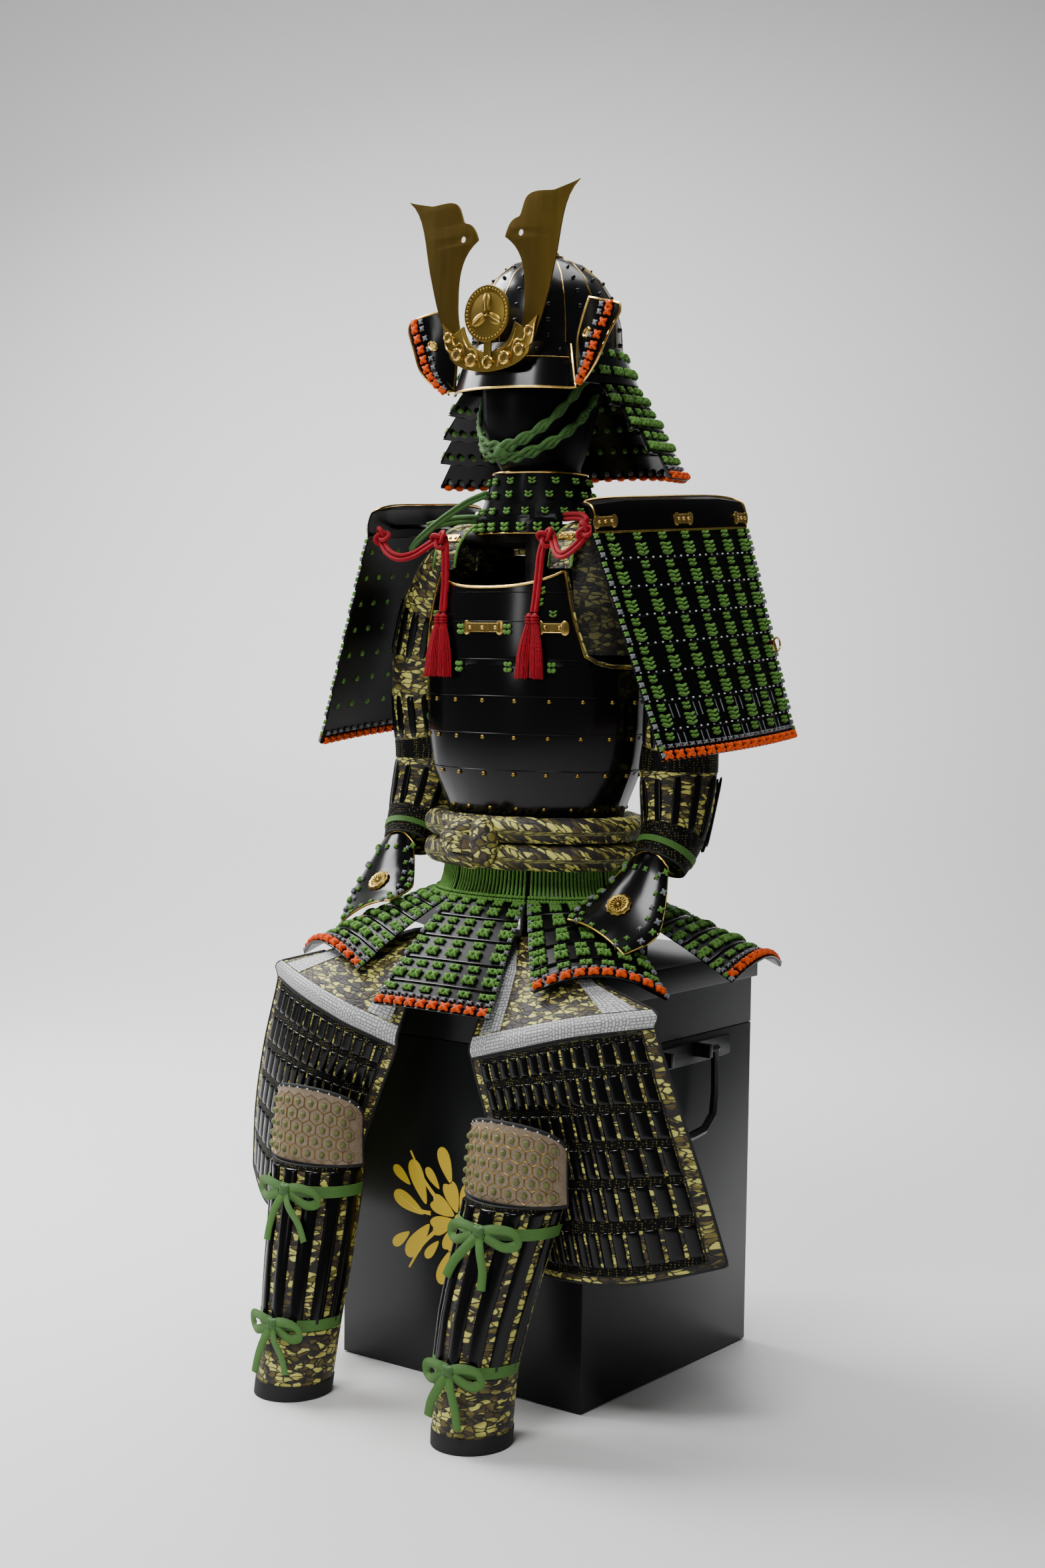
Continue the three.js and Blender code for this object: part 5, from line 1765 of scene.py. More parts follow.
    def bow(self, lace: Lacing) -> None:
        """Adds the green bow that closes the armour's right side.

        Args:
            lace: the mesh for cord.
        """
        side = self.patch()
        for wave, tail in ((-7, 38), (6, 44)):
            line = [(-84, -868), (-84 + wave * 0.5, -856), (-84 + wave, -846 + tail * 0.2),
                    (-84 + wave * 1.3, -868 + tail)]
            path = smooth_path([side.lifted(a, d, 4.0) for a, d in line], 10)
            lace.tube(path, 4.5, 6, flat=0.35, face=vec(-1, -0.1, 0), slot=1)
        for wave in (-8, 8):
            loop = [(-84, -868), (-84 + wave * 0.7, -876), (-84 + wave * 1.3, -873),
                    (-84 + wave * 0.7, -866), (-84, -868)]
            path = smooth_path([side.lifted(a, d, 5.0) for a, d in loop], 16)
            lace.tube(path, 3.2, 6, flat=0.5, face=vec(-1, -0.1, 0), slot=1)
        lace.braid(side, -84, -868, 12, 12, 2, 12, 1, 2)

    def throat(self, gold: Lacing, lace: Lacing) -> None:
        """Adds the throat guard's knots and rims, and builds the armholes' lining in a darker copy of the brocade,
        which paints the shade inside them.

        Args:
            gold: the mesh for gilt.
            lace: the mesh for cord.
        """
        collar_rows = ((1138.6, 86, 72), (1160, 76, 67), (1200, 62, 61))
        bib_rows = ((1118, 92, 74), (1139, 90, 72.5))

        def skin(rows: Sequence[Point]) -> Patch:
            """Describes a part's outside.

            Args:
                rows: rows of height and half sizes.

            Returns:
                The surface.
            """
            def at(angle: float, depth: float) -> Array:
                """Returns a point of the outside."""
                row = [float(np.interp(-depth, [r[0] for r in rows], [r[k] for r in rows])) for k in (1, 2)]
                return oval(angle, row[0] + 2.4, row[1] + 2.4, BODY_Y, -depth)
            return Patch(at, vec(0, BODY_Y, 1150))

        collar, bib = skin(collar_rows), skin(bib_rows)
        for z, count in ((1148, 15), (1170, 13), (1188, 11)):
            for angle in steps(-130, 130, count - 1):
                lace.braid(collar, angle, -z, 11, 9, 2, 6)
        for angle in steps(-44, 44, 6):
            lace.braid(bib, angle, -1127, 13, 12, 2, 8)
        # The lining is brocade darkened to paint the shade that falls inside the armholes.
        lining = Cast()
        for sign in (1, -1):
            wall = [[[oval(sign * a, row_at(self.rows, 0, z)[1] - lift, row_at(self.rows, 0, z)[2] - lift,
                           BODY_Y, z)
                      for a in steps(47, 136, 28)] for z in steps(960, 1109, 12)] for lift in (8.0, 6.5)]
            lining.wall(np.array(wall[0]), np.array(wall[1]))
        log(lining.build("CuirassLining", [SHADED_BROCADE]))
        gold.rim(collar, [(a, -1199.6) for a in steps(-139, 139, 40)], 1.5, -0.6)
        gold.rim(bib, [(a, -1118.6) for a in steps(-49, 49, 24)], 1.3, -0.8)

    def straps(self, stamps: StampSet) -> None:
        """Builds the padded shoulder straps with their edging, ties and toggles.

        Args:
            stamps: the shared hard shapes.
        """
        table = ((-128, 1070.9), (-120, 1101), (-92, 1126), (-45, 1135), (0, 1131), (30, 1118), (46, 1098))
        for side in Side:
            cast, gold = Cast(), Lacing()
            path = [blend_rows(table, t) for t in np.linspace(0, 6, 37)]
            inner, outer = [], []
            for i, (y, z) in enumerate(path):
                before, after = path[max(i - 1, 0)], path[min(i + 1, 36)]
                out = unit(vec(0, -(after[1] - before[1]), after[0] - before[0]))
                low, high = [], []
                for u in np.linspace(-1, 1, 11):
                    pad = 3.0 + 1.6 * (1 - abs(u) ** 3) * math.sin(math.pi * min(max(i / 36, 0.02),
                                                                                 0.98)) ** 0.5
                    p = side.at(vec(96 + 18 * u, y, z))
                    low.append(p)
                    high.append(p + out * pad)
                inner.append(low)
                outer.append(high)
            cast.wall(np.array(inner), np.array(outer))
            grid = np.array(outer)
            for column in (0, 10):
                cast.tube(grid[1:-1, column] + vec(0, 0, -1.2), 1.8, 6, slot=1)
            made = cast.build(f"ShoulderStrap{side.title}", [BROCADE, GREEN], crease=50)
            stand_for(made, "brocade", "shoulder_strap_" + side.label)
            tie = Cast()
            for lift in (0.0, 6.4):
                line = ((133, -122, 1126 + lift), (112, -101, 1134.5 + lift), (92, -93, 1137 + lift),
                        (70, -86, 1137 + lift))
                tie.tube(smooth_path([side.at(vec(*q)) for q in line], 14), 3.3, 7,
                         slot=int(side is Side.RIGHT))
            if side is Side.RIGHT:
                for lift in (0.0, 5.6):
                    line = ((48, -99, 1170 + lift), (72, -110, 1159 + lift), (92, -124, 1143 + lift),
                            (112, -136, 1125 + lift),
                            (134, -142, 1106 + lift), (150, -136, 1094 + lift))
                    tie.tube(smooth_path([side.at(vec(*q)) for q in line], 20), 2.7, 7, slot=1)
            log(tie.build(f"StrapTie{side.title}", [CRIMSON, DARK_GREEN], crease=60))
            for row, wide in ((8, 13), (29, 13)):
                p, q = grid[row, 5], grid[row + 1, 5]
                down = unit(q - p)
                out = unit(np.cross(down, vec(1, 0, 0)))
                out = out if out[2] > 0 else -out
                gold.stamp(stamps.plate, p - out * 0.6, vec(wide, 0, 0), down * 6, out * 1.3)
                for u in (-9, 0, 9):
                    gold.stamp(stamps.rivet, p + vec(u, 0, 0), vec(3, 0, 0), down * 3, out * 3.6)
            log(gold.build(f"StrapFittings{side.title}", [GILT]))


# Shoulder guards


@dataclass(frozen=True)
class ShoulderGuards:
    """Lacing and fittings of the two shoulder guards.

    Args:
        corners: front and back of the upper edge, then of the lower edge, on the left.
        bow: how far the middle bulges out.
        lames: rows of lames.
        columns: columns of lacing.
    """

    corners: tuple[Point, ...] = (
        (183, -184, 1112), (232, 103, 1132), (281, -166, 830), (301, 123, 852),
    )
    bow: float = 16.0
    lames: int = 8
    columns: int = 7

    def point(self, u: float, v: float) -> Array:
        """Finds the inner surface's point on the left.

        Args:
            u: share back.
            v: share down.

        Returns:
            The point.
        """
        tf, tb, lf, lb = (vec(*c) for c in self.corners)
        p = (tf * (1 - u) + tb * u) * (1 - v) + (lf * (1 - u) + lb * u) * v
        return p + vec(self.bow * (1 - (2 * u - 1) ** 2), 0, 0)

    def lame_patch(self, side: Side, lame: int, behind: bool = False) -> Patch:
        """Describes a lame's outside by shares back and down it.

        Args:
            side: the armour's left or right.
            lame: the lame's number from the top.
            behind: True for its inside.

        Returns:
            The surface.
        """

        def at(u: float, t: float) -> Array:
            """Returns a point of the lame."""
            thick = -0.2 if behind else lerp(1.4, 3.6, t)
            return side.at(self.point(u, (lame + lerp(0.03, 0.97, t)) / self.lames) + vec(thick, 0,
                                                                                          0.1 * thick))

        return Patch(at, side.at(vec(400, 0, 950)) if behind else vec(0, BODY_Y, 900))

    def crown_patch(self, side: Side) -> Patch:
        """Describes the crown plate's outside by shares back and up.

        Args:
            side: the armour's left or right.

        Returns:
            The surface.
        """
        rows = ((0, 0), (0.6, 0.05), (0.9, 0.35), (1, 1))

        def at(u: float, v: float) -> Array:
            """Returns a point of the plate."""
            rise, lean = blend_rows(rows, v * 3)
            bend = (2 * u - 1) ** 6
            p = self.point(u, 0) + vec(-lean * 26 * (1 - 0.35 * bend), 0, 42 * rise - 6 * rise * bend)
            return side.at(p + vec(2.2 * (1 - 0.6 * v), 0, 2.3 * v * v))

        return Patch(at, vec(0, BODY_Y, 1000))

    def build(self, stamps: StampSet) -> None:
        """Builds both guards' dressings.

        Args:
            stamps: the shared hard shapes.
        """
        refinish(LAME_BLACK, *both("sode"), *both("sode_plate"))
        for side in Side:
            work, gold = Lacing(), Lacing()
            for lame in range(self.lames):
                self.lame(side, lame, work)
            crown = self.crown_patch(side)
            edge = [(u, 0.02) for u in steps(0.01, 0.99, 24)] + [(0.99, v) for v in steps(0.1, 0.9, 8)]
            edge += [(u, 0.99) for u in steps(0.98, 0.02, 24)] + [(0.01, v) for v in steps(0.9, 0.1, 8)]
            gold.rim(crown, edge, 1.8, 0.0, True)
            for u in (0.06, 0.5, 0.94):
                gold.fitting(stamps.plate, crown, u, 0.2, (15, 6.5, 1.4), lift=-0.3)
                for shift in (-0.048, 0.048):
                    gold.fitting(stamps.petal, crown, u + shift * 0.9, 0.2, (5.5, 8.5, 2.0), lift=-0.3)
                for shift in (-0.032, 0, 0.032):
                    gold.fitting(stamps.rivet, crown, u + shift, 0.2, (3, 3, 4))
            patch = self.lame_patch(side, 4)
            ring = [patch.at(0.985 + 0.001 * math.cos(t), 0.4) + vec(5 * side.value, 4 + 9 * math.cos(t),
                                                                     9 * math.sin(t))
                    for t in turns(20)]
            gold.tube(ring, 1.5, 6, True)
            work.knot(patch, 0.985, 0.4, 10, 12, 8, 4)
            gold_piece = gold.build(f"ShoulderGuardGold{side.title}", [GILT])
            log(gold_piece)
            made = work.build(f"ShoulderGuardLacing{side.title}", [GREEN, SILVER, ORANGE, WHITE, CRIMSON],
                              crease=60)
            log(made)

    def lame(self, side: Side, lame: int, work: Lacing) -> None:
        """Adds one lame's lacing.

        Args:
            side: the armour's left or right.
            lame: the lame's number from the top.
            work: the mesh for cord.
        """
        patch = self.lame_patch(side, lame)
        last = lame == self.lames - 1
        for column in range(self.columns):
            u = 0.075 + column * 0.85 / (self.columns - 1)
            work.braid(patch, u, 0.17, 12, 10, 2, 8)
            if not last:
                work.braid(patch, u, 0.66, 17, 16, 3, 10)
                work.ball(self.lame_patch(side, lame, True).at(u, 0.5), (1.6, 5, 5))
        if last:
            for i in range(24):
                u = (i + 0.5) / 24
                work.knot(patch, u, 0.5, 10, 5.5, 5, 1)
            for i in range(16):
                u = (i + 0.5) / 16
                work.knot(patch, u, 0.82, 16, 12, 10, 2)
                inner = self.lame_patch(side, lame, True)
                work.knot(inner, u, 0.86, 14, 11, 8, 2)
                work.knot(inner, u, 0.56, 8, 6, 6, 1)
        else:
            for i in range(24):
                work.ball(patch.lifted((i + 0.5) / 24, 0.95, 0.3), (1.5, 1.6, 1.2), slot=3)
        if lame >= self.lames - 2:
            for column in range(self.columns - 1):
                u = 0.075 + (column + 0.5) * 0.85 / (self.columns - 1)
                for shift in (-0.018, 0.018):
                    work.rim(patch, [(u + shift, t) for t in (0.04, 0.55)], 0.7, 0.0, slot=1, sides=4)
        for u in (0.008, 0.992):
            for k, t in enumerate((0.1, 0.34, 0.58, 0.82)):
                work.knot(patch, u, t, 7, 7, 7, 1 if k % 2 else 0)


# Waist and skirts


@dataclass(frozen=True)
class Skirts:
    """The rolled sash and the seven laced skirts.

    Args:
        skirts: name, place in the ring, middle of the lower edge, half width, edge direction, drop and bow.
        lames: laced rows of each.
        waist: half sizes of the waist in plan.
        reach: angle in degrees from a skirt's middle to its edge.
    """

    skirts: tuple[tuple, ...] = (
        ("front", 0, 0, -274, 502, 95, 1, 0, 3, 9),
        ("front_left", 1, 232, -214, 562, 84, 0.93, 0.38, 26, 10),
        ("side_left", 2, 326, 20, 570, 84, -0.16, 0.99, 22, 10),
        ("back_left", 3, 116, 186, 574, 86, -0.97, 0.24, 10, 8),
    )
    lames: int = 5
    waist: tuple[float, float] = (127.4, 95.4)
    reach: float = 24.6

    def upper(self, skirt: tuple, u: float, z: float, grow: float) -> Array:
        """Returns a point round the waist, at a share across a skirt."""
        return oval(skirt[1] * 360 / 7 + u * self.reach, self.waist[0] + grow, self.waist[1] + grow, BODY_Y,
                    z)

    def lame_patch(self, skirt: tuple, side: Side, lame: int) -> Patch:
        """Describes a lame's outside, by shares across from -1 to 1 and down.

        Args:
            skirt: the skirt's row.
            side: the armour's left or right.
            lame: the lame's number from the top.

        Returns:
            The surface.
        """
        _, _, x, y, z, half, tx, ty, drop, bow = skirt
        inward = unit(vec(-x, BODY_Y - y, 0))

        def base(u: float, t: float) -> Array:
            """Returns a point of the skirt's inner surface."""
            low = vec(x + tx * half * u, y + ty * half * u, z - drop * u * u) + inward * bow * u * u
            return self.upper(skirt, u, 636, 14) * (1 - t) + low * t + vec(0, 0, 5 * math.sin(math.pi * t))

        plain = Patch(base, vec(0, BODY_Y, 500))

        def at(u: float, part: float) -> Array:
            """Returns a point of the lame."""
            t = (lame + lerp(0.03, 0.97, part)) / self.lames
            return side.at(plain.lifted(u, t, lerp(1.4, 3.6, part)))

        return Patch(at, vec(0, BODY_Y, 500))

    def waist_patch(self, skirt: tuple, side: Side) -> Patch:
        """Describes the cloth above the lames, by shares across and down.

        Args:
            skirt: the skirt's row.
            side: the armour's left or right.

        Returns:
            The surface.
        """
        heights, grows = (700, 664, 644, 636), (0, 1, 7, 14)

        def at(u: float, v: float) -> Array:
            """Returns a point of the cloth."""
            k = v * 3
            z, grow = float(np.interp(k, range(4), heights)), float(np.interp(k, range(4), grows))
            return side.at(self.upper(skirt, u, z, grow + 2))

        return Patch(at, vec(0, BODY_Y, 640))

    def build(self) -> None:
        """Builds the sash and the skirts' dressings."""
        self.sash()
        for skirt in self.skirts:
            name = skirt[0]
            refinish(LAME_BLACK, "tasset_" + name)
            sides = [Side.LEFT]
            if name.endswith("_left"):
                refinish(LAME_BLACK, "tasset_" + name.replace("left", "right"))
                sides.append(Side.RIGHT)
            for side in sides:
                label = name.replace("left", side.label).title().replace("_", "")
                work, gold = Lacing(), Lacing()
                self.dress(skirt, side, work, gold)
                made = work.build(f"Skirt{label}Lacing", [GREEN, SILVER, ORANGE, WHITE], crease=60)
                log(made)
                log(gold.build(f"Skirt{label}Edges", [LACQUER]))

    def dress(self, skirt: tuple, side: Side, work: Lacing, gold: Lacing) -> None:
        """Adds one skirt's lacing and edges.

        Args:
            skirt: the skirt's row.
            side: the armour's left or right.
            work: the mesh for cord.
            gold: the mesh for the edges.
        """
        waist = self.waist_patch(skirt, side)
        for u in steps(-0.96, 0.96, 19):
            work.tube([waist.lifted(u, v, 2.2) for v in steps(0.12, 0.9, 5)], 2.3, 6, flat=0.8)
        for u in steps(-0.95, 0.95, 13):
            work.braid(waist, u, 0.93, 9, 12, 2, 6, lift=2.5)
        for lame in range(self.lames):
            patch = self.lame_patch(skirt, side, lame)
            count = 5 if lame < 3 else 6
            for i in range(count):
                u = lerp(-0.86, 0.86, i / (count - 1))
                if lame < self.lames - 1:
                    for shift in (-0.055, 0.055):
                        work.knot(patch, u + shift, 0.68, 10, 15, 9)
                for shift in (-0.05, 0.05):
                    work.knot(patch, u + shift, 0.2, 9, 10, 7)
            if lame == self.lames - 1:
                for i in range(14):
                    u = lerp(-0.94, 0.94, i / 13)
                    work.knot(patch, u, 0.5, 10, 5.5, 5, 1)
                for i in range(10):
                    u = lerp(-0.91, 0.91, i / 9)
                    work.knot(patch, u, 0.82, 16, 12, 10, 2)
            for u in (-0.985, 0.985):
                for k, t in enumerate((0.15, 0.42, 0.7, 0.92)):
                    work.knot(patch, u, t, 7, 7, 7, 1 if k % 2 else 0)
            gold.rim(patch, [(u, 1.0) for u in steps(-0.99, 0.99, 20)], 0.8, -0.6)

    def sash(self) -> None:
        """Builds the sash's two rolls and its knot."""
        rng = np.random.default_rng(11)
        for name, z, node in (("SashUpper", 731, "sash_upper"), ("SashLower", 695, "sash_lower")):
            sides, rounds = 20, 168
            folds = rng.uniform(0, 6.28, (4,))
            points, uv = [], []
            for i in range(rounds):
                angle = i * 360 / rounds
                centre = oval(angle, 146.2, 114.2, BODY_Y, z)
                out = unit(centre - vec(0, BODY_Y, z))
                for k in range(sides):
                    t = k / sides * math.tau
                    ripple = 0.45 * math.sin(angle * 0.33 + 3 * t + folds[0]) + 0.35 * math.sin(
                        angle * 0.33 - 5 * t + folds[1]) + 0.3 * math.sin(angle * 0.7 + 2 * t + folds[2])
                    grow = 1 + 0.045 * ripple - 0.075 * max(0.0,
                                                            math.sin(4 * t + angle * 0.22 + folds[3])) ** 3
                    points.append(centre + out * 15.6 * grow * math.cos(t) + vec(0, 0,
                                                                                 17.2 * grow * math.sin(t)))
                    uv.append([i / rounds * 0.86, k / sides * 0.1 + i / rounds * 0.6])
            faces = []
            for i in range(rounds):
                j = (i + 1) % rounds
                faces += [(i * sides + k, j * sides + k, j * sides + (k + 1) % sides,
                           i * sides + (k + 1) % sides)
                          for k in range(sides)]
            cast = Cast()
            cast.add(np.array(points), faces, np.array(uv))
            made = cast.build(name, [BROCADE], crease=60)
            stand_for(made, "brocade", node)
        knot = Cast()
        middle = vec(-2, -175, 713)
        lobes = ((vec(-24, 4, 16), (30, 17, 16), 14), (vec(-20, 4, -18), (32, 17, 16), -16),
                 (vec(16, 0, 2), (21, 19, 33), 8))
        for offset, (rx, ry, rz), lean in lobes:
            self.lobe(knot, middle + offset, rx, ry, rz, math.radians(lean))
        for sway, fall in ((-34, -4), (-44, 8)):
            line = [middle + vec(4, -4, -6), middle + vec(sway * 0.6, -12, fall),
                    middle + vec(sway * 1.2, -4, fall - 4)]
            knot.tube(smooth_path(line, 10), lambda t: 12 - 5 * t, 12, flat=0.45, face=vec(0, -1, 0.3))
        made = knot.build("SashKnot", [BROCADE], crease=60)
        stand_for(made, "brocade", "sash_knot")

    def lobe(self, cast: Cast, centre: Array, rx: float, ry: float, rz: float, lean: float) -> None:
        """Adds a creased cloth lobe.

        Args:
            cast: the mesh that it goes in.
            centre: its centre.
            rx: half size along X.
            ry: half size along Y.
            rz: half size along Z.
            lean: its lean in radians.
        """
        wide, high = 36, 24
        points, uv, faces = [], [], []
        for r in range(high + 1):
            a = math.pi * r / high
            for c in range(wide):
                t = math.tau * c / wide
                crease = 1 - 0.06 * max(0.0, math.sin(5 * t + 2.4 * a + rx)) ** 4 - 0.04 * max(0.0,
                                                                                               math.sin(8 * a + t)) ** 4
                x, y, z = rx * crease * math.sin(a) * math.cos(t), ry * crease * math.sin(a) * math.sin(t), rz * math.cos(a)
                points.append(centre + vec(x * math.cos(lean) - z * math.sin(lean), y,
                                           z * math.cos(lean) + x * math.sin(lean)))
                uv.append([c / wide * 0.12, r / high * 0.07])
        for r in range(high):
            for c in range(wide):
                d = (c + 1) % wide
                quad = (r * wide + c, (r + 1) * wide + c, (r + 1) * wide + d, r * wide + d)
                faces.append(quad if 0 < r < high - 1 else (quad[1:] if r == 0
                                                            else (quad[0], quad[1], quad[3])))
        cast.add(np.array(points), faces, np.array(uv))


# Sleeves and hand guards


@dataclass(frozen=True)
class Sleeves:
    """Brocade sleeves with long splints and mail, and the hand guards.

    Args:
        line: rows of the sleeve's centre and radius on the left.
        hand: rows of the hand guard's centre, half width, droop and tilt.
        wall: the cloth's thickness.
    """

    line: tuple[tuple[float, ...], ...] = (
        (127, -44, 1095, 26), (140, -44, 1087, 31), (168, -42, 1062, 36), (200, -36, 1000, 39),
        (214, -28, 930, 42),
        (213, -17, 860, 46), (208, -13, 808, 49), (214, -22, 757, 44), (215, -40, 720, 38),
        (212, -58, 692, 33),
    )
    hand: tuple[tuple[float, ...], ...] = (
        (211, -82.5, 708.4, 30, 18, 2), (206, -112, 668, 50, 24, 8), (200, -136, 638, 58, 18, 16),
        (192, -172, 612, 44, 8, 19),
    )
    wall: float = 2.0

    def point(self, at: float, turn: float, lift: float = 0.0) -> Array:
        """Finds a point of the sleeve on the left.

        Args:
            at: fractional row number.
            turn: turn round it in degrees.
            lift: its distance off the surface in mm.

        Returns:
            The point.
        """
        here = np.array(blend_rows(self.line, at))
        ahead = np.array(blend_rows(self.line, min(at + 0.2, 9)))[:3]
        behind = np.array(blend_rows(self.line, max(at - 0.2, 0)))[:3]
        axis = unit(ahead - behind)
        wide = unit(np.cross(vec(0, 1, 0), axis))
        deep = np.cross(axis, wide)
        t = math.radians(turn)
        return here[:3] + (here[3] + lift) * (wide * math.cos(t) + deep * math.sin(t))

    def patch(self, side: Side) -> Patch:
        """Returns the sleeve's outside, by turn in degrees and fractional row."""
        middle = side.at(vec(*self.line[6][:3]))
        return Patch(lambda turn, at: side.at(self.point(at, turn, self.wall)), middle)

    def skin(self, side: Side, at: float, turn: float) -> Array:
        """Returns the direction out of the sleeve."""
        return side.at(unit(self.point(at, turn, 9) - self.point(at, turn, 0)))

    def build(self, stamps: StampSet) -> None:
        """Builds both sleeves and the hand guards' dressings.

        Args:
            stamps: the shared hard shapes.
        """
        refinish(LACQUER, *both("hand_guard"), edge=0.5)
        for side in Side:
            self.sleeve(side, stamps)
            self.hand_work(side, stamps)

    def sleeve(self, side: Side, stamps: StampSet) -> None:
        """Builds one sleeve with its splints, mail and cuff.

        Args:
            side: the armour's left or right.
            stamps: the shared hard shapes.
        """
        cast = Cast()
        rows, columns = 112, 64
        inner, outer = [], []
        for r in range(rows + 1):
            at = 9 * r / rows
            low, high = [], []
            for c in range(columns):
                turn = c * 360 / columns
                fold = 0.0
                if 2.0 < at < 7.2:
                    fold = 1.1 * math.sin(at * 7 + math.radians(turn) * 2) * math.sin(math.pi * (at - 2) / 5.2)
                low.append(side.at(self.point(at, turn, min(fold, 0.6))))
                high.append(side.at(self.point(at, turn, min(fold, 0.6) + self.wall)))
            inner.append(low)
            outer.append(high)
        cast.wall(np.array(inner), np.array(outer), True)
        for end in (0.02, 8.98):
            ring = [side.at(self.point(end, t, 1.2)) for t in steps(0, 355, 71)]
            cast.tube(ring, 1.8, 6, True, slot=1)
        sleeve = cast.build(f"Sleeve{side.title}", [BROCADE, BLACK_CLOTH], crease=50)
        stand_for(sleeve, "brocade", "sleeve_" + side.label)
        extras = Lacing()
        patch = self.patch(side)
        for at0, at1, count, deep in ((6.05, 7.8, 12, 4.0), (4.3, 5.2, 14, 3.0), (2.7, 3.6, 14, 3.0)):
            for i in range(count):
                turn = i * 360 / count
                p0, p1 = patch.at(turn, at0), patch.at(turn, at1)
                p = patch.at(turn, (at0 + at1) / 2)
                out = self.skin(side, (at0 + at1) / 2, turn)
                along = unit(p1 - p0)
                extras.stamp(stamps.bar, p + out * 0.7, np.cross(along, out) * 5.2, along * float(
                    np.linalg.norm(p1 - p0)) * 0.5, out * deep * 0.6)
        for a0, a1 in ((7.75, 8.9), (5.3, 5.95)):
            ring = np.array([[side.at(self.point(at, t, lift)) for t in steps(0, 352.5, 47)]
                             for lift in (2.05, 3.0)
                             for at in steps(a0, a1, 10)])
            extras.wall(ring[:11], ring[11:], True, slot=1)
        band = np.array([[side.at(self.point(at, t, lift)) for t in steps(0, 354, 59)]
                         for lift in (3.2, 4.6) for at in (8.312, 8.42, 8.528)])
        extras.wall(band[:3], band[3:], True, slot=2)
        tie = [vec(114.8, -44, 1137.4), vec(125, -44, 1137), vec(141.8, -44, 1116.5)]
        extras.tube([side.at(p) for p in smooth_path(tie, 12)], 2.4, 8, slot=2)
        made = extras.build(f"SleeveSplints{side.title}", [LACQUER, MAIL, RIBBON], crease=50)
        log(made)

    def hand_patch(self, side: Side) -> Patch:
        """Describes the hand guard's outside, by shares across and row.

        Args:
            side: the armour's left or right.

        Returns:
            The surface.
        """

        def at(u: float, v: float) -> Array:
            """Returns a point of the outside."""
            row = blend_rows(self.hand, v)
            return side.at(vec(row[0] + u * row[3], row[1] - 1.3, row[2] - row[4] * u * u - row[5] * u + 2))

        return Patch(at, side.at(vec(200, -60, 560)))

    def hand_work(self, side: Side, stamps: StampSet) -> None:
        """Builds the dressings of one hand guard.

        Args:
            side: the armour's left or right.
            stamps: the shared hard shapes.
        """
        patch = self.hand_patch(side)
        gold, knots = Lacing(), Lacing()
        gold.fitting(stamps.flower, patch, 0.0, 1.9, (17.5, 17.5, 7), lift=-0.8)
        p, across, down, out = patch.frame(0.0, 1.9)
        for i in range(16):
            t = i / 16 * math.tau
            ray = across * math.cos(t) + down * math.sin(t)
            gold.blob(p + ray * 9 + out * 2.6, ray * 6.2, (down * math.cos(t) - across * math.sin(t)) * 1.7,
                      out * 2.4, 8, 5)
        gold.blob(p + out * 2.8, across * 3.6, down * 3.6, out * 2.8, 10, 6)
        edge = border((-0.98, 0.98, 12), (0.1, 2.9, 18), (-0.99, 0.99), (0.02, 2.98))
        gold.rim(patch, edge, 1.5, -0.9, True)
        for i in range(7):
            v = 0.25 + i * 0.42
            for u in (-0.9, 0.9):
                knots.knot(patch, u, v, 8, 9, 7, 1 if i % 2 else 0)
                knots.knot(patch, u * 0.76, v + 0.2, 6, 7, 6, 0 if i % 2 else 1)
        for u in (-0.6, -0.2, 0.2, 0.6):
            knots.knot(patch, u, 2.86, 8, 6, 5)
            knots.knot(patch, u, 0.55, 6, 8, 5)
        log(gold.build(f"HandGuardGilt{side.title}", [OLD_GILT]))
        made = knots.build(f"HandGuardKnots{side.title}", [GREEN, SILVER], crease=60)
        log(made)


# Thigh guards


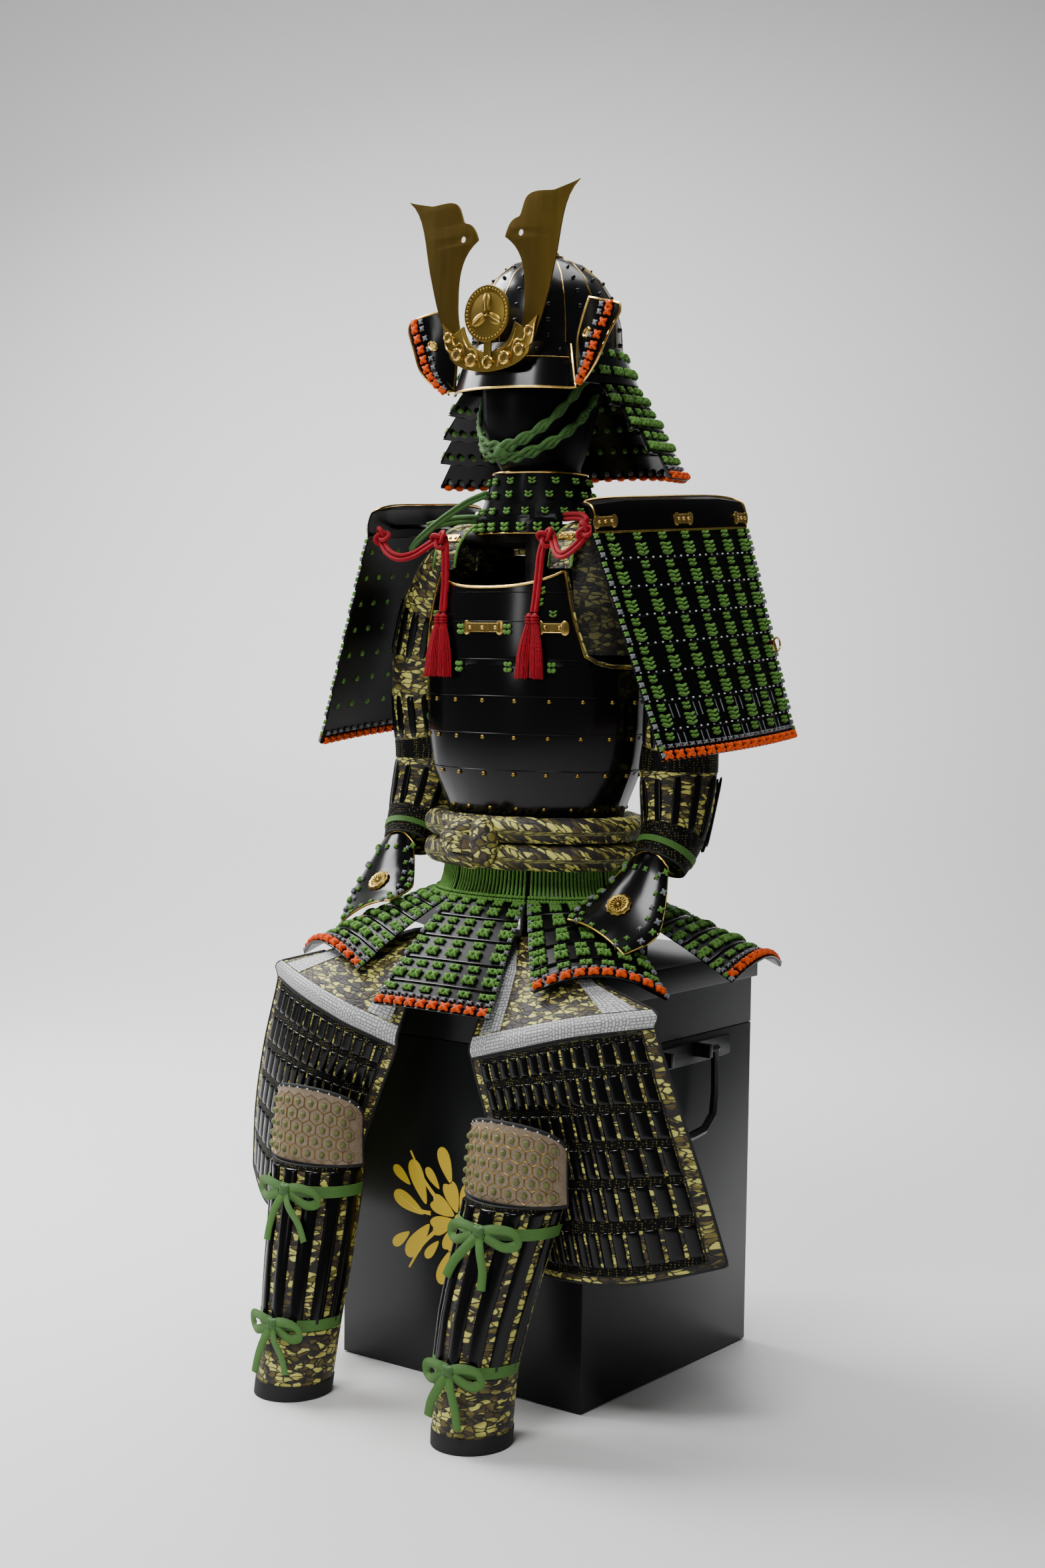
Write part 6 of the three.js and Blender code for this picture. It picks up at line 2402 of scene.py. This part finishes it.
@dataclass(frozen=True)
class ThighGuards:
    """Cloth thigh guards over the front edge of the box, with raised splints.

    Args:
        xs: X of four points of each row on the left.
        ys: their Y.
        zs: their Z.
        wall: the cloth's thickness.
    """

    xs: tuple[tuple[float, ...], ...] = (
        (26, 62, 98, 134), (62, 112, 168, 226), (60, 140, 225, 311), (64, 144, 229, 314),
        (90, 166, 254, 345),
        (122, 192, 280, 374), (152, 218, 302, 397),
    )
    ys: tuple[tuple[float, ...], ...] = (
        (-146, -148, -146, -138), (-206.8, -206.8, -206.8, -206), (-254, -264, -252, -213),
        (-256, -266, -254, -213),
        (-259, -268, -256, -206), (-258, -267, -252, -192), (-252, -261, -243, -172),
    )
    zs: tuple[tuple[float, ...], ...] = (
        (586, 590, 588, 582), (553, 553, 553, 552.6), (469, 492, 514, 529), (441, 464, 487, 502),
        (376, 388, 402, 412),
        (292, 296, 306, 318), (192, 190, 196, 221),
    )
    wall: float = 2.0

    def point(self, u: float, at: float) -> Array:
        """Finds the inner surface's point on the left.

        Args:
            u: its share across.
            at: fractional row number.

        Returns:
            The point.
        """
        table = []
        for x, y, z in zip(self.xs, self.ys, self.zs):
            table.append(blend_rows(list(zip(x, y, z)), u * 3))
        return np.array(blend_linear(table, at) if at < 2.02 else blend_rows(table, at))

    def patches(self, side: Side) -> tuple[Patch, Patch]:
        """Describes the cloth's inside and outside.

        Args:
            side: the armour's left or right.

        Returns:
            The two surfaces.
        """
        middle = side.at(vec(150, 0, 300))
        inner = Patch(lambda u, at: side.at(self.point(u, at)), middle).baked(1, 6, 60, 150)
        return inner, Patch(lambda u, at: inner.lifted(u, at, self.wall), middle).baked(1, 6, 60, 150)

    def build(self) -> None:
        """Builds both guards."""
        for side in Side:
            self.guard(side)

    def guard(self, side: Side) -> None:
        """Builds one guard with its splints and bands.

        Args:
            side: the armour's left or right.
        """
        inner, skin = self.patches(side)
        us = steps(0, 1, 48)
        ats = steps(0, 0.96, 10) + [1.0] + steps(1.04, 6, 76)
        low = inner.grid(us, ats, 0.15)
        high = inner.grid(us, ats, self.wall)
        cast = Cast()
        cast.wall(low, high)
        sheet = cast.build(f"ThighGuard{side.title}", [BROCADE], crease=60)
        stand_for(sheet, "brocade", "thigh_guard_" + side.label)
        extra = Cast()

        def strip(u0: float, u1: float, a0: float, a1: float, lift: float, slot: int, nu: int = 12,
                  na: int = 14) -> None:
            """Adds a raised strip between two shares across and two rows."""
            uu, aa = steps(u0, u1, nu), steps(a0, a1, na)
            extra.wall(skin.grid(uu, aa, 0.05), skin.grid(uu, aa, lift), slot=slot,
                       start=(u0 * 0.25, a0 * 0.09))

        strip(0.02, 0.98, 1.97, 2.84, 1.0, 1, 40, 12)
        for u in (0.16, 0.84):
            strip(u - 0.07, u + 0.07, 0.02, 1.95, 1.3, 1, 6, 26)
        extra.tube([skin.lifted(u, 2.84, 0.6) for u in steps(0.01, 0.99, 40)], 1.5, 6, slot=3)
        first, last, lames, count = 3.05, 5.82, 6, 14
        pitch = (last - first) / lames
        for row in range(lames + 1):
            strip(0.085, 0.915, first + pitch * row - 0.082, first + pitch * row + 0.016, 1.4, 4, 40, 2)
        for lame in range(lames):
            for i in range(count):
                u = lerp(0.115, 0.885, i / (count - 1))
                a0, a1 = first + pitch * lame + 0.012, first + pitch * (lame + 1) - 0.08
                self.splint(extra, skin, u, a0, a1)
        outline = [(u, 5.98) for u in steps(0.03, 0.97, 30)] + [(0.995, a) for a in steps(5.9, 1.1, 40)]
        extra.tube([skin.lifted(u, a, -0.6) for u, a in outline], 2.1, 6, slot=3)
        extra.tube([skin.lifted(0.005, a, -0.6) for a in steps(5.9, 1.1, 40)], 2.1, 6, slot=3)
        for line in ([(0.085, a) for a in steps(2.9, 5.84, 30)], [(0.915, a) for a in steps(2.9, 5.84, 30)],
                     [(u, 5.84) for u in steps(0.085, 0.915, 30)],
                     [(u, 2.92) for u in steps(0.085, 0.915, 30)]):
            extra.tube([skin.lifted(u, a, 0.5) for u, a in line], 1.3, 6, slot=3)
        made = extra.build(f"ThighSplints{side.title}", [LACQUER, FRET, WHITE, BLACK_CLOTH, MAIL],
                           crease=75)
        log(made)

    def splint(self, extra: Cast, skin: Patch, u: float, a0: float, a1: float) -> None:
        """Adds one raised splint.

        Args:
            extra: the mesh that it goes in.
            skin: the cloth's outside.
            u: its share across.
            a0: its first row.
            a1: its last row.
        """
        half = 0.0235
        levels = ((a0, 0.0), (a0 + 0.012, 0.8), (a0 + 0.035, 1.0), (a0 + 0.07, 1.0), ((a0 + a1) / 2, 1.0),
                  (a1 - 0.07, 1.0), (a1 - 0.035, 1.0), (a1 - 0.012, 0.8), (a1, 0.0))
        rows = [[skin.lifted(u + d * half, a, 0.5 + 2.9 * grow * max(1 - d * d, 0) ** 0.5)
                 for d in SPLINT_SHARES]
                for a, grow in levels]
        base = np.array([[skin.lifted(u + d * half, a, 0.2) for d in SPLINT_SHARES] for a, _ in levels])
        extra.wall(base, np.array(rows), slot=0)


# Shin guards


@dataclass(frozen=True)
class ShinGuards:
    """Shin guards with leather rims, brocade, splints, knee plates and ribbon bows.

    Args:
        rows: rows of height, centre, half sizes and opening angle on the left.
        wall: not used.
    """

    rows: tuple[tuple[float, ...], ...] = (
        (0, 148, -357, 46, 50, 150), (90, 145, -344, 50, 49, 148), (170, 149, -326, 56, 52, 140),
        (240, 157, -306, 60, 52, 128), (292, 163, -294, 63, 52, 112),
    )
    wall: float = 2.0

    def point(self, side: Side, at: float, angle: float, offset: float) -> Array:
        """Returns a point off the guard at a fractional row."""
        row = blend_rows(self.rows, at)
        return side.at(oval(angle, row[3] + offset, row[4] + offset, row[2], row[0], row[1]))

    def at_height(self, side: Side, z: float, angle: float, offset: float) -> Array:
        """Returns a point off the guard at a height."""
        row = row_at(self.rows, 0, z)
        return side.at(oval(angle, row[3] + offset, row[4] + offset, row[2], z, row[1]))

    def build(self) -> None:
        """Builds both guards."""
        for side in Side:
            self.guard(side)
            self.splints(side)
            self.knee(side)
            self.ties(side)

    def guard(self, side: Side) -> None:
        """Builds the cloth wall with its black foot and edging.

        Args:
            side: the armour's left or right.
        """
        cast = Cast()
        for a0, a1, count, slot, thick in ((0.0, 0.28, 6, 0, 3.2), (0.28, 4.0, 44, 1, 2.0)):
            inner, outer = [], []
            for at in steps(a0, a1, count):
                end = blend_rows(self.rows, at)[5]
                inner.append([self.point(side, at, a, 0) for a in steps(-end, end, 64)])
                outer.append([self.point(side, at, a, thick) for a in steps(-end, end, 64)])
            cast.wall(np.array(inner), np.array(outer), slot=slot)
        for sign in (1, -1):
            edge = [self.point(side, at, sign * blend_rows(self.rows, at)[5], 1.0)
                    for at in steps(0.02, 3.98, 30)]
            cast.tube(edge, 2.0, 6, slot=0)
        cast.tube([self.point(side, 3.99, a, 1.0) for a in steps(-111, 111, 40)], 2.0, 6, slot=0)
        made = cast.build(f"ShinGuard{side.title}", [BLACK_CLOTH, BROCADE], crease=50)
        stand_for(made, "brocade", "shin_guard_" + side.label)

    def splints(self, side: Side) -> None:
        """Builds the splints and mail of one guard.

        Args:
            side: the armour's left or right.
        """
        cast = Lacing()
        for a0, a1 in ((0.98, 1.12), (3.82, 3.98)):
            mail = np.array([[[self.point(side, at, a, lift) for a in steps(-112, 112, 48)]
                              for at in steps(a0, a1, 3)] for lift in (2.05, 3.1)])
            cast.wall(mail[0], mail[1], slot=1)
        for i in range(7):
            angle = (i - 3) * 30
            inner, outer = [], []
            for at, grow in ((1.05, 0.0), (1.07, 0.8), (1.1, 1.0), (1.16, 1.0), (1.8, 1.0), (2.5, 1.0),
                             (3.2, 1.0),
                             (3.74, 1.0), (3.8, 1.0), (3.84, 0.8), (3.86, 0.0)):
                low, high = [], []
                for d in SPLINT_SHARES:
                    turn = angle + d * 9.8
                    low.append(self.point(side, at, turn, 2.5))
                    high.append(self.point(side, at, turn, 2.8 + 3.4 * grow * max(1 - d * d, 0) ** 0.5))
                inner.append(low)
                outer.append(high)
            cast.wall(np.array(inner), np.array(outer), slot=0)
        made = cast.build(f"ShinSplints{side.title}", [LACQUER, MAIL], crease=75)
        log(made)

    def knee(self, side: Side) -> None:
        """Builds one knee plate of quilted leather.

        Args:
            side: the armour's left or right.
        """

        def at(angle: float, t: float) -> Array:
            """Returns a point of the plate's back, by angle and share up."""
            arch = max(math.cos(math.radians(angle * 90 / 84)), 0.0)
            z = lerp(292.8, lerp(352, 392, math.sqrt(arch)), t)
            back = 48 * ((z - 292.8) / 100) ** 2
            return side.at(oval(angle, 73 - 5 * t, 52, -285 + back * 0.2, z, 164))

        def out(angle: float, t: float, lift: float) -> Array:
            """Returns a point off the plate's back."""
            p = at(angle, t)
            middle = side.at(vec(164, -285, p[2]))
            return p + unit(p - middle) * lift

        cast = Cast()
        angles, ts = steps(-84, 84, 96), steps(0, 1, 40)
        inner = np.array([[out(a, t, 0.3) for a in angles] for t in ts])
        outer = np.array([[out(a, t, 3.4 + 0.3 * self.quilt(a, t)) for a in angles] for t in ts])
        cast.wall(inner, outer)
        edge = [out(-83.6, t, 1.8) for t in steps(0, 0.98, 8)] + [out(a, 0.995, 1.8)
                                                                  for a in steps(-83, 83, 60)]
        edge += [out(83.6, t, 1.8) for t in steps(0.98, 0, 8)] + [out(a, 0.005, 1.8)
                                                                  for a in steps(83, -83, 60)]
        cast.tube(edge, 2.7, 8, True, slot=1)
        for i in range(26):
            a = lerp(-80, 80, i / 25)
            cast.ball(out(a, 0.985, 3.6), (1.5, 1.5, 1.5), slot=2 if i % 2 else 1)
        for row in range(5):
            for column in range(9):
                a = -62 + column * 15.5 + (7.75 if row % 2 else 0)
                t = 0.15 + row * 0.165
                if abs(a) > 68:
                    continue
                corners = [out(a + 8.6 * math.sin(k), t + 0.108 * math.cos(k), 4.0) for k in
                           turns(6)]
                cast.tube(corners, 0.45, 5, True, slot=3)
                cast.ball(out(a, t, 4.2), (4.2, 4.2, 4.2), 10, 7, 4)
        made = cast.build(f"KneePlate{side.title}", [LEATHER, BLACK_CLOTH, WHITE, OLD_GILT, OLIVE],
                          crease=60)
        stand_for(made, "tan_leather", "knee_plate_" + side.label)

    def quilt(self, angle: float, t: float) -> float:
        """Returns the padding's rise from 0 to 1, by angle and share up."""
        return abs(math.sin(math.radians(angle) * 11.6)) ** 0.5 * abs(math.sin(t * math.pi * 5.2)) ** 0.5

    def ties(self, side: Side) -> None:
        """Builds the two ribbons and their bows on one guard.

        Args:
            side: the armour's left or right.
        """
        for name, z, proud in (("lower", 97, 4.6), ("upper", 262, 6.8)):
            cast = Lacing()
            band = [[[self.at_height(side, z + dz, a, proud + lift) for a in steps(-100, 100, 60)]
                     for dz in (-7, -3.5, 0, 3.5, 7)] for lift in (0.0, 1.5)]
            cast.wall(np.array(band[0]), np.array(band[1]))
            knot = self.at_height(side, z, 0, proud + 5)
            for turn in (1, -1):
                cast.blob(knot, vec(0, 5, 0), vec(5, 0, 4 * turn), vec(8, 0, -7 * turn), 12, 8)
            arms = [[(0, 0, 4), (12, 6, 9), (26, 4, 11), (31, -8, 8), (22, -12, 6), (6, -4, 5)],
                    [(0, 0, 4), (-12, 5, 9), (-25, 1, 11), (-29, -10, 8), (-20, -13, 6), (-5, -4, 5)],
                    [(0, -2, 4), (-6, -16, 8), (-16, -34, 7), (-22, -52, 6)],
                    [(0, -2, 4), (6, -18, 8), (12, -38, 7), (15, -57, 6)]]
            for line in arms:
                path = [self.at_height(side, z + fall * 1.15, swing * 1.35, proud + off) for swing, fall,
                        off in line]
                smooth = smooth_path(path, 22)
                cast.tube(smooth, 6.2, 8, flat=0.22, face=side.at(vec(0.1, -1, 0)))
            made = cast.build(f"ShinTie{name.title()}{side.title}", [RIBBON], crease=60)
            stand_for(made, "green_cord", f"shin_tie_{name}_{side.label}")


# Box and stand


@dataclass(frozen=True)
class ArmourBox:
    """The lacquered box's finish, its framed strips and its front ornament.

    Args:
        half: half its width.
        strip: middle height of the strip's frame under each handle.
        flower: height of the front flower's middle.
    """

    half: float = 200.0
    strip: float = 428.5
    flower: float = 217.0

    def build(self, stamps: StampSet) -> None:
        """Builds the box's dressings.

        Args:
            stamps: the shared hard shapes.
        """
        refinish(SATIN, "box_body", "box_lid", edge=2.0)
        refinish(IRON, *both("handle_mount"), edge=0.4)
        for name in both("handle"):
            refinish(IRON, name)
        refinish(TIMBER, "stand")
        refinish(PLASTIC, "head_form")
        strips = Lacing()
        for side in Side:
            for z in (self.strip - 12.5, self.strip + 12.5):
                strips.stamp(stamps.bar, side.at(vec(self.half + 0.9, 0, z)), vec(1.7, 0, 0),
                             vec(0, 139, 0), vec(0, 0, 2.2))
            for y in (-138, 138):
                strips.stamp(stamps.bar, side.at(vec(self.half + 0.9, y, self.strip)), vec(1.7, 0, 0),
                             vec(0, 2.2, 0), vec(0, 0, 12.5))
            for y in (-132, 132):
                strips.stamp(stamps.rivet, side.at(vec(self.half, y, self.strip)), vec(0, 4, 0),
                             vec(0, 0, 4),
                             vec(side.value * 3, 0, 0))
        log(strips.build("BoxStrips", [IRON]))
        self.ornament()

    def ornament(self) -> None:
        """Builds the front's flower with its leaves and scrolls, as thin gold leaf."""
        cast = Cast()

        def flat(outline: Sequence[tuple[float, float]], thick: float = 0.5) -> None:
            """Adds a thin plate of an outline."""
            n = len(outline)
            back = [vec(x, -self.half, z) for x, z in outline]
            face = [vec(x, -self.half - thick, z) for x, z in outline]
            faces = [tuple(range(n)), tuple(range(2 * n - 1, n - 1, -1))]
            faces += [(i, (i + 1) % n, n + (i + 1) % n, n + i) for i in range(n)]
            cast.add(np.array(back + face), faces)

        def petal(x: float, z: float, turn: float, length: float, wide: float, notch: float = 0.0) -> None:
            """Adds a petal from a point, by its turn, length and width."""
            c, s = math.cos(turn), math.sin(turn)
            line = []
            for i in range(25):
                t = i / 24 * math.tau
                along = (1 - math.cos(t)) / 2
                reach = length * (along - notch * math.exp(-((t - math.pi) / 0.3) ** 2))
                side = wide * math.sin(t) * (0.35 + 0.65 * along)
                line.append((x + c * reach - s * side, z + s * reach + c * side))
            flat(line[:-1])

        for i in range(8):
            turn = i * math.pi / 4 + math.pi / 8
            petal(9 * math.cos(turn), self.flower + 9 * math.sin(turn), turn, 44, 17, 0.14)
        flat([(7 * math.cos(t), self.flower + 7 * math.sin(t)) for t in turns(24)], 0.9)
        leaves = ((-60, 214, 2.75, 56, 15), (-56, 228, 2.0, 62, 16), (-50, 202, 4.05, 62, 16),
                  (-14, 262, 1.95, 50, 14),
                  (-14, 172, 4.35, 50, 14), (-84, 250, 2.5, 36, 10), (-84, 186, 3.8, 36, 10),
                  (-34, 252, 2.3, 34, 9),
                  (-34, 182, 4.0, 34, 9))
        for x, z, turn, length, wide in leaves:
            petal(x, z, turn, length, wide)
            petal(-x, z, math.pi - turn, length, wide)
        for sign in (1, -1):
            for line in (((48, 217), (70, 219), (108, 236)), ((40, 240), (62, 262), (84, 296)),
                         ((40, 194), (62, 172), (84, 138))):
                path = smooth_path([vec(sign * x, -self.half - 0.2, z) for x, z in line], 10)
                cast.tube(path, lambda t: 3.0 - 1.6 * t, 6, flat=0.3, face=vec(0, -1, 0))
        log(cast.build("BoxOrnament", [GOLD_LEAF]))


def main() -> None:
    """Builds the scene, piece by piece."""
    logging.basicConfig(level=logging.INFO, format="%(message)s")
    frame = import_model()
    LOG.info("frame loaded: %s", type(frame).__name__)
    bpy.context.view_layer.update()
    Studio().build()
    ChestCords().build()
    ChinCord().build()
    stamps = StampSet.make()
    ArmourBox().build(stamps)
    Helmet().build(stamps)
    Cuirass().build(stamps)
    ShoulderGuards().build(stamps)
    Skirts().build()
    Sleeves().build(stamps)
    ThighGuards().build()
    ShinGuards().build()


if __name__ == "__main__":
    main()
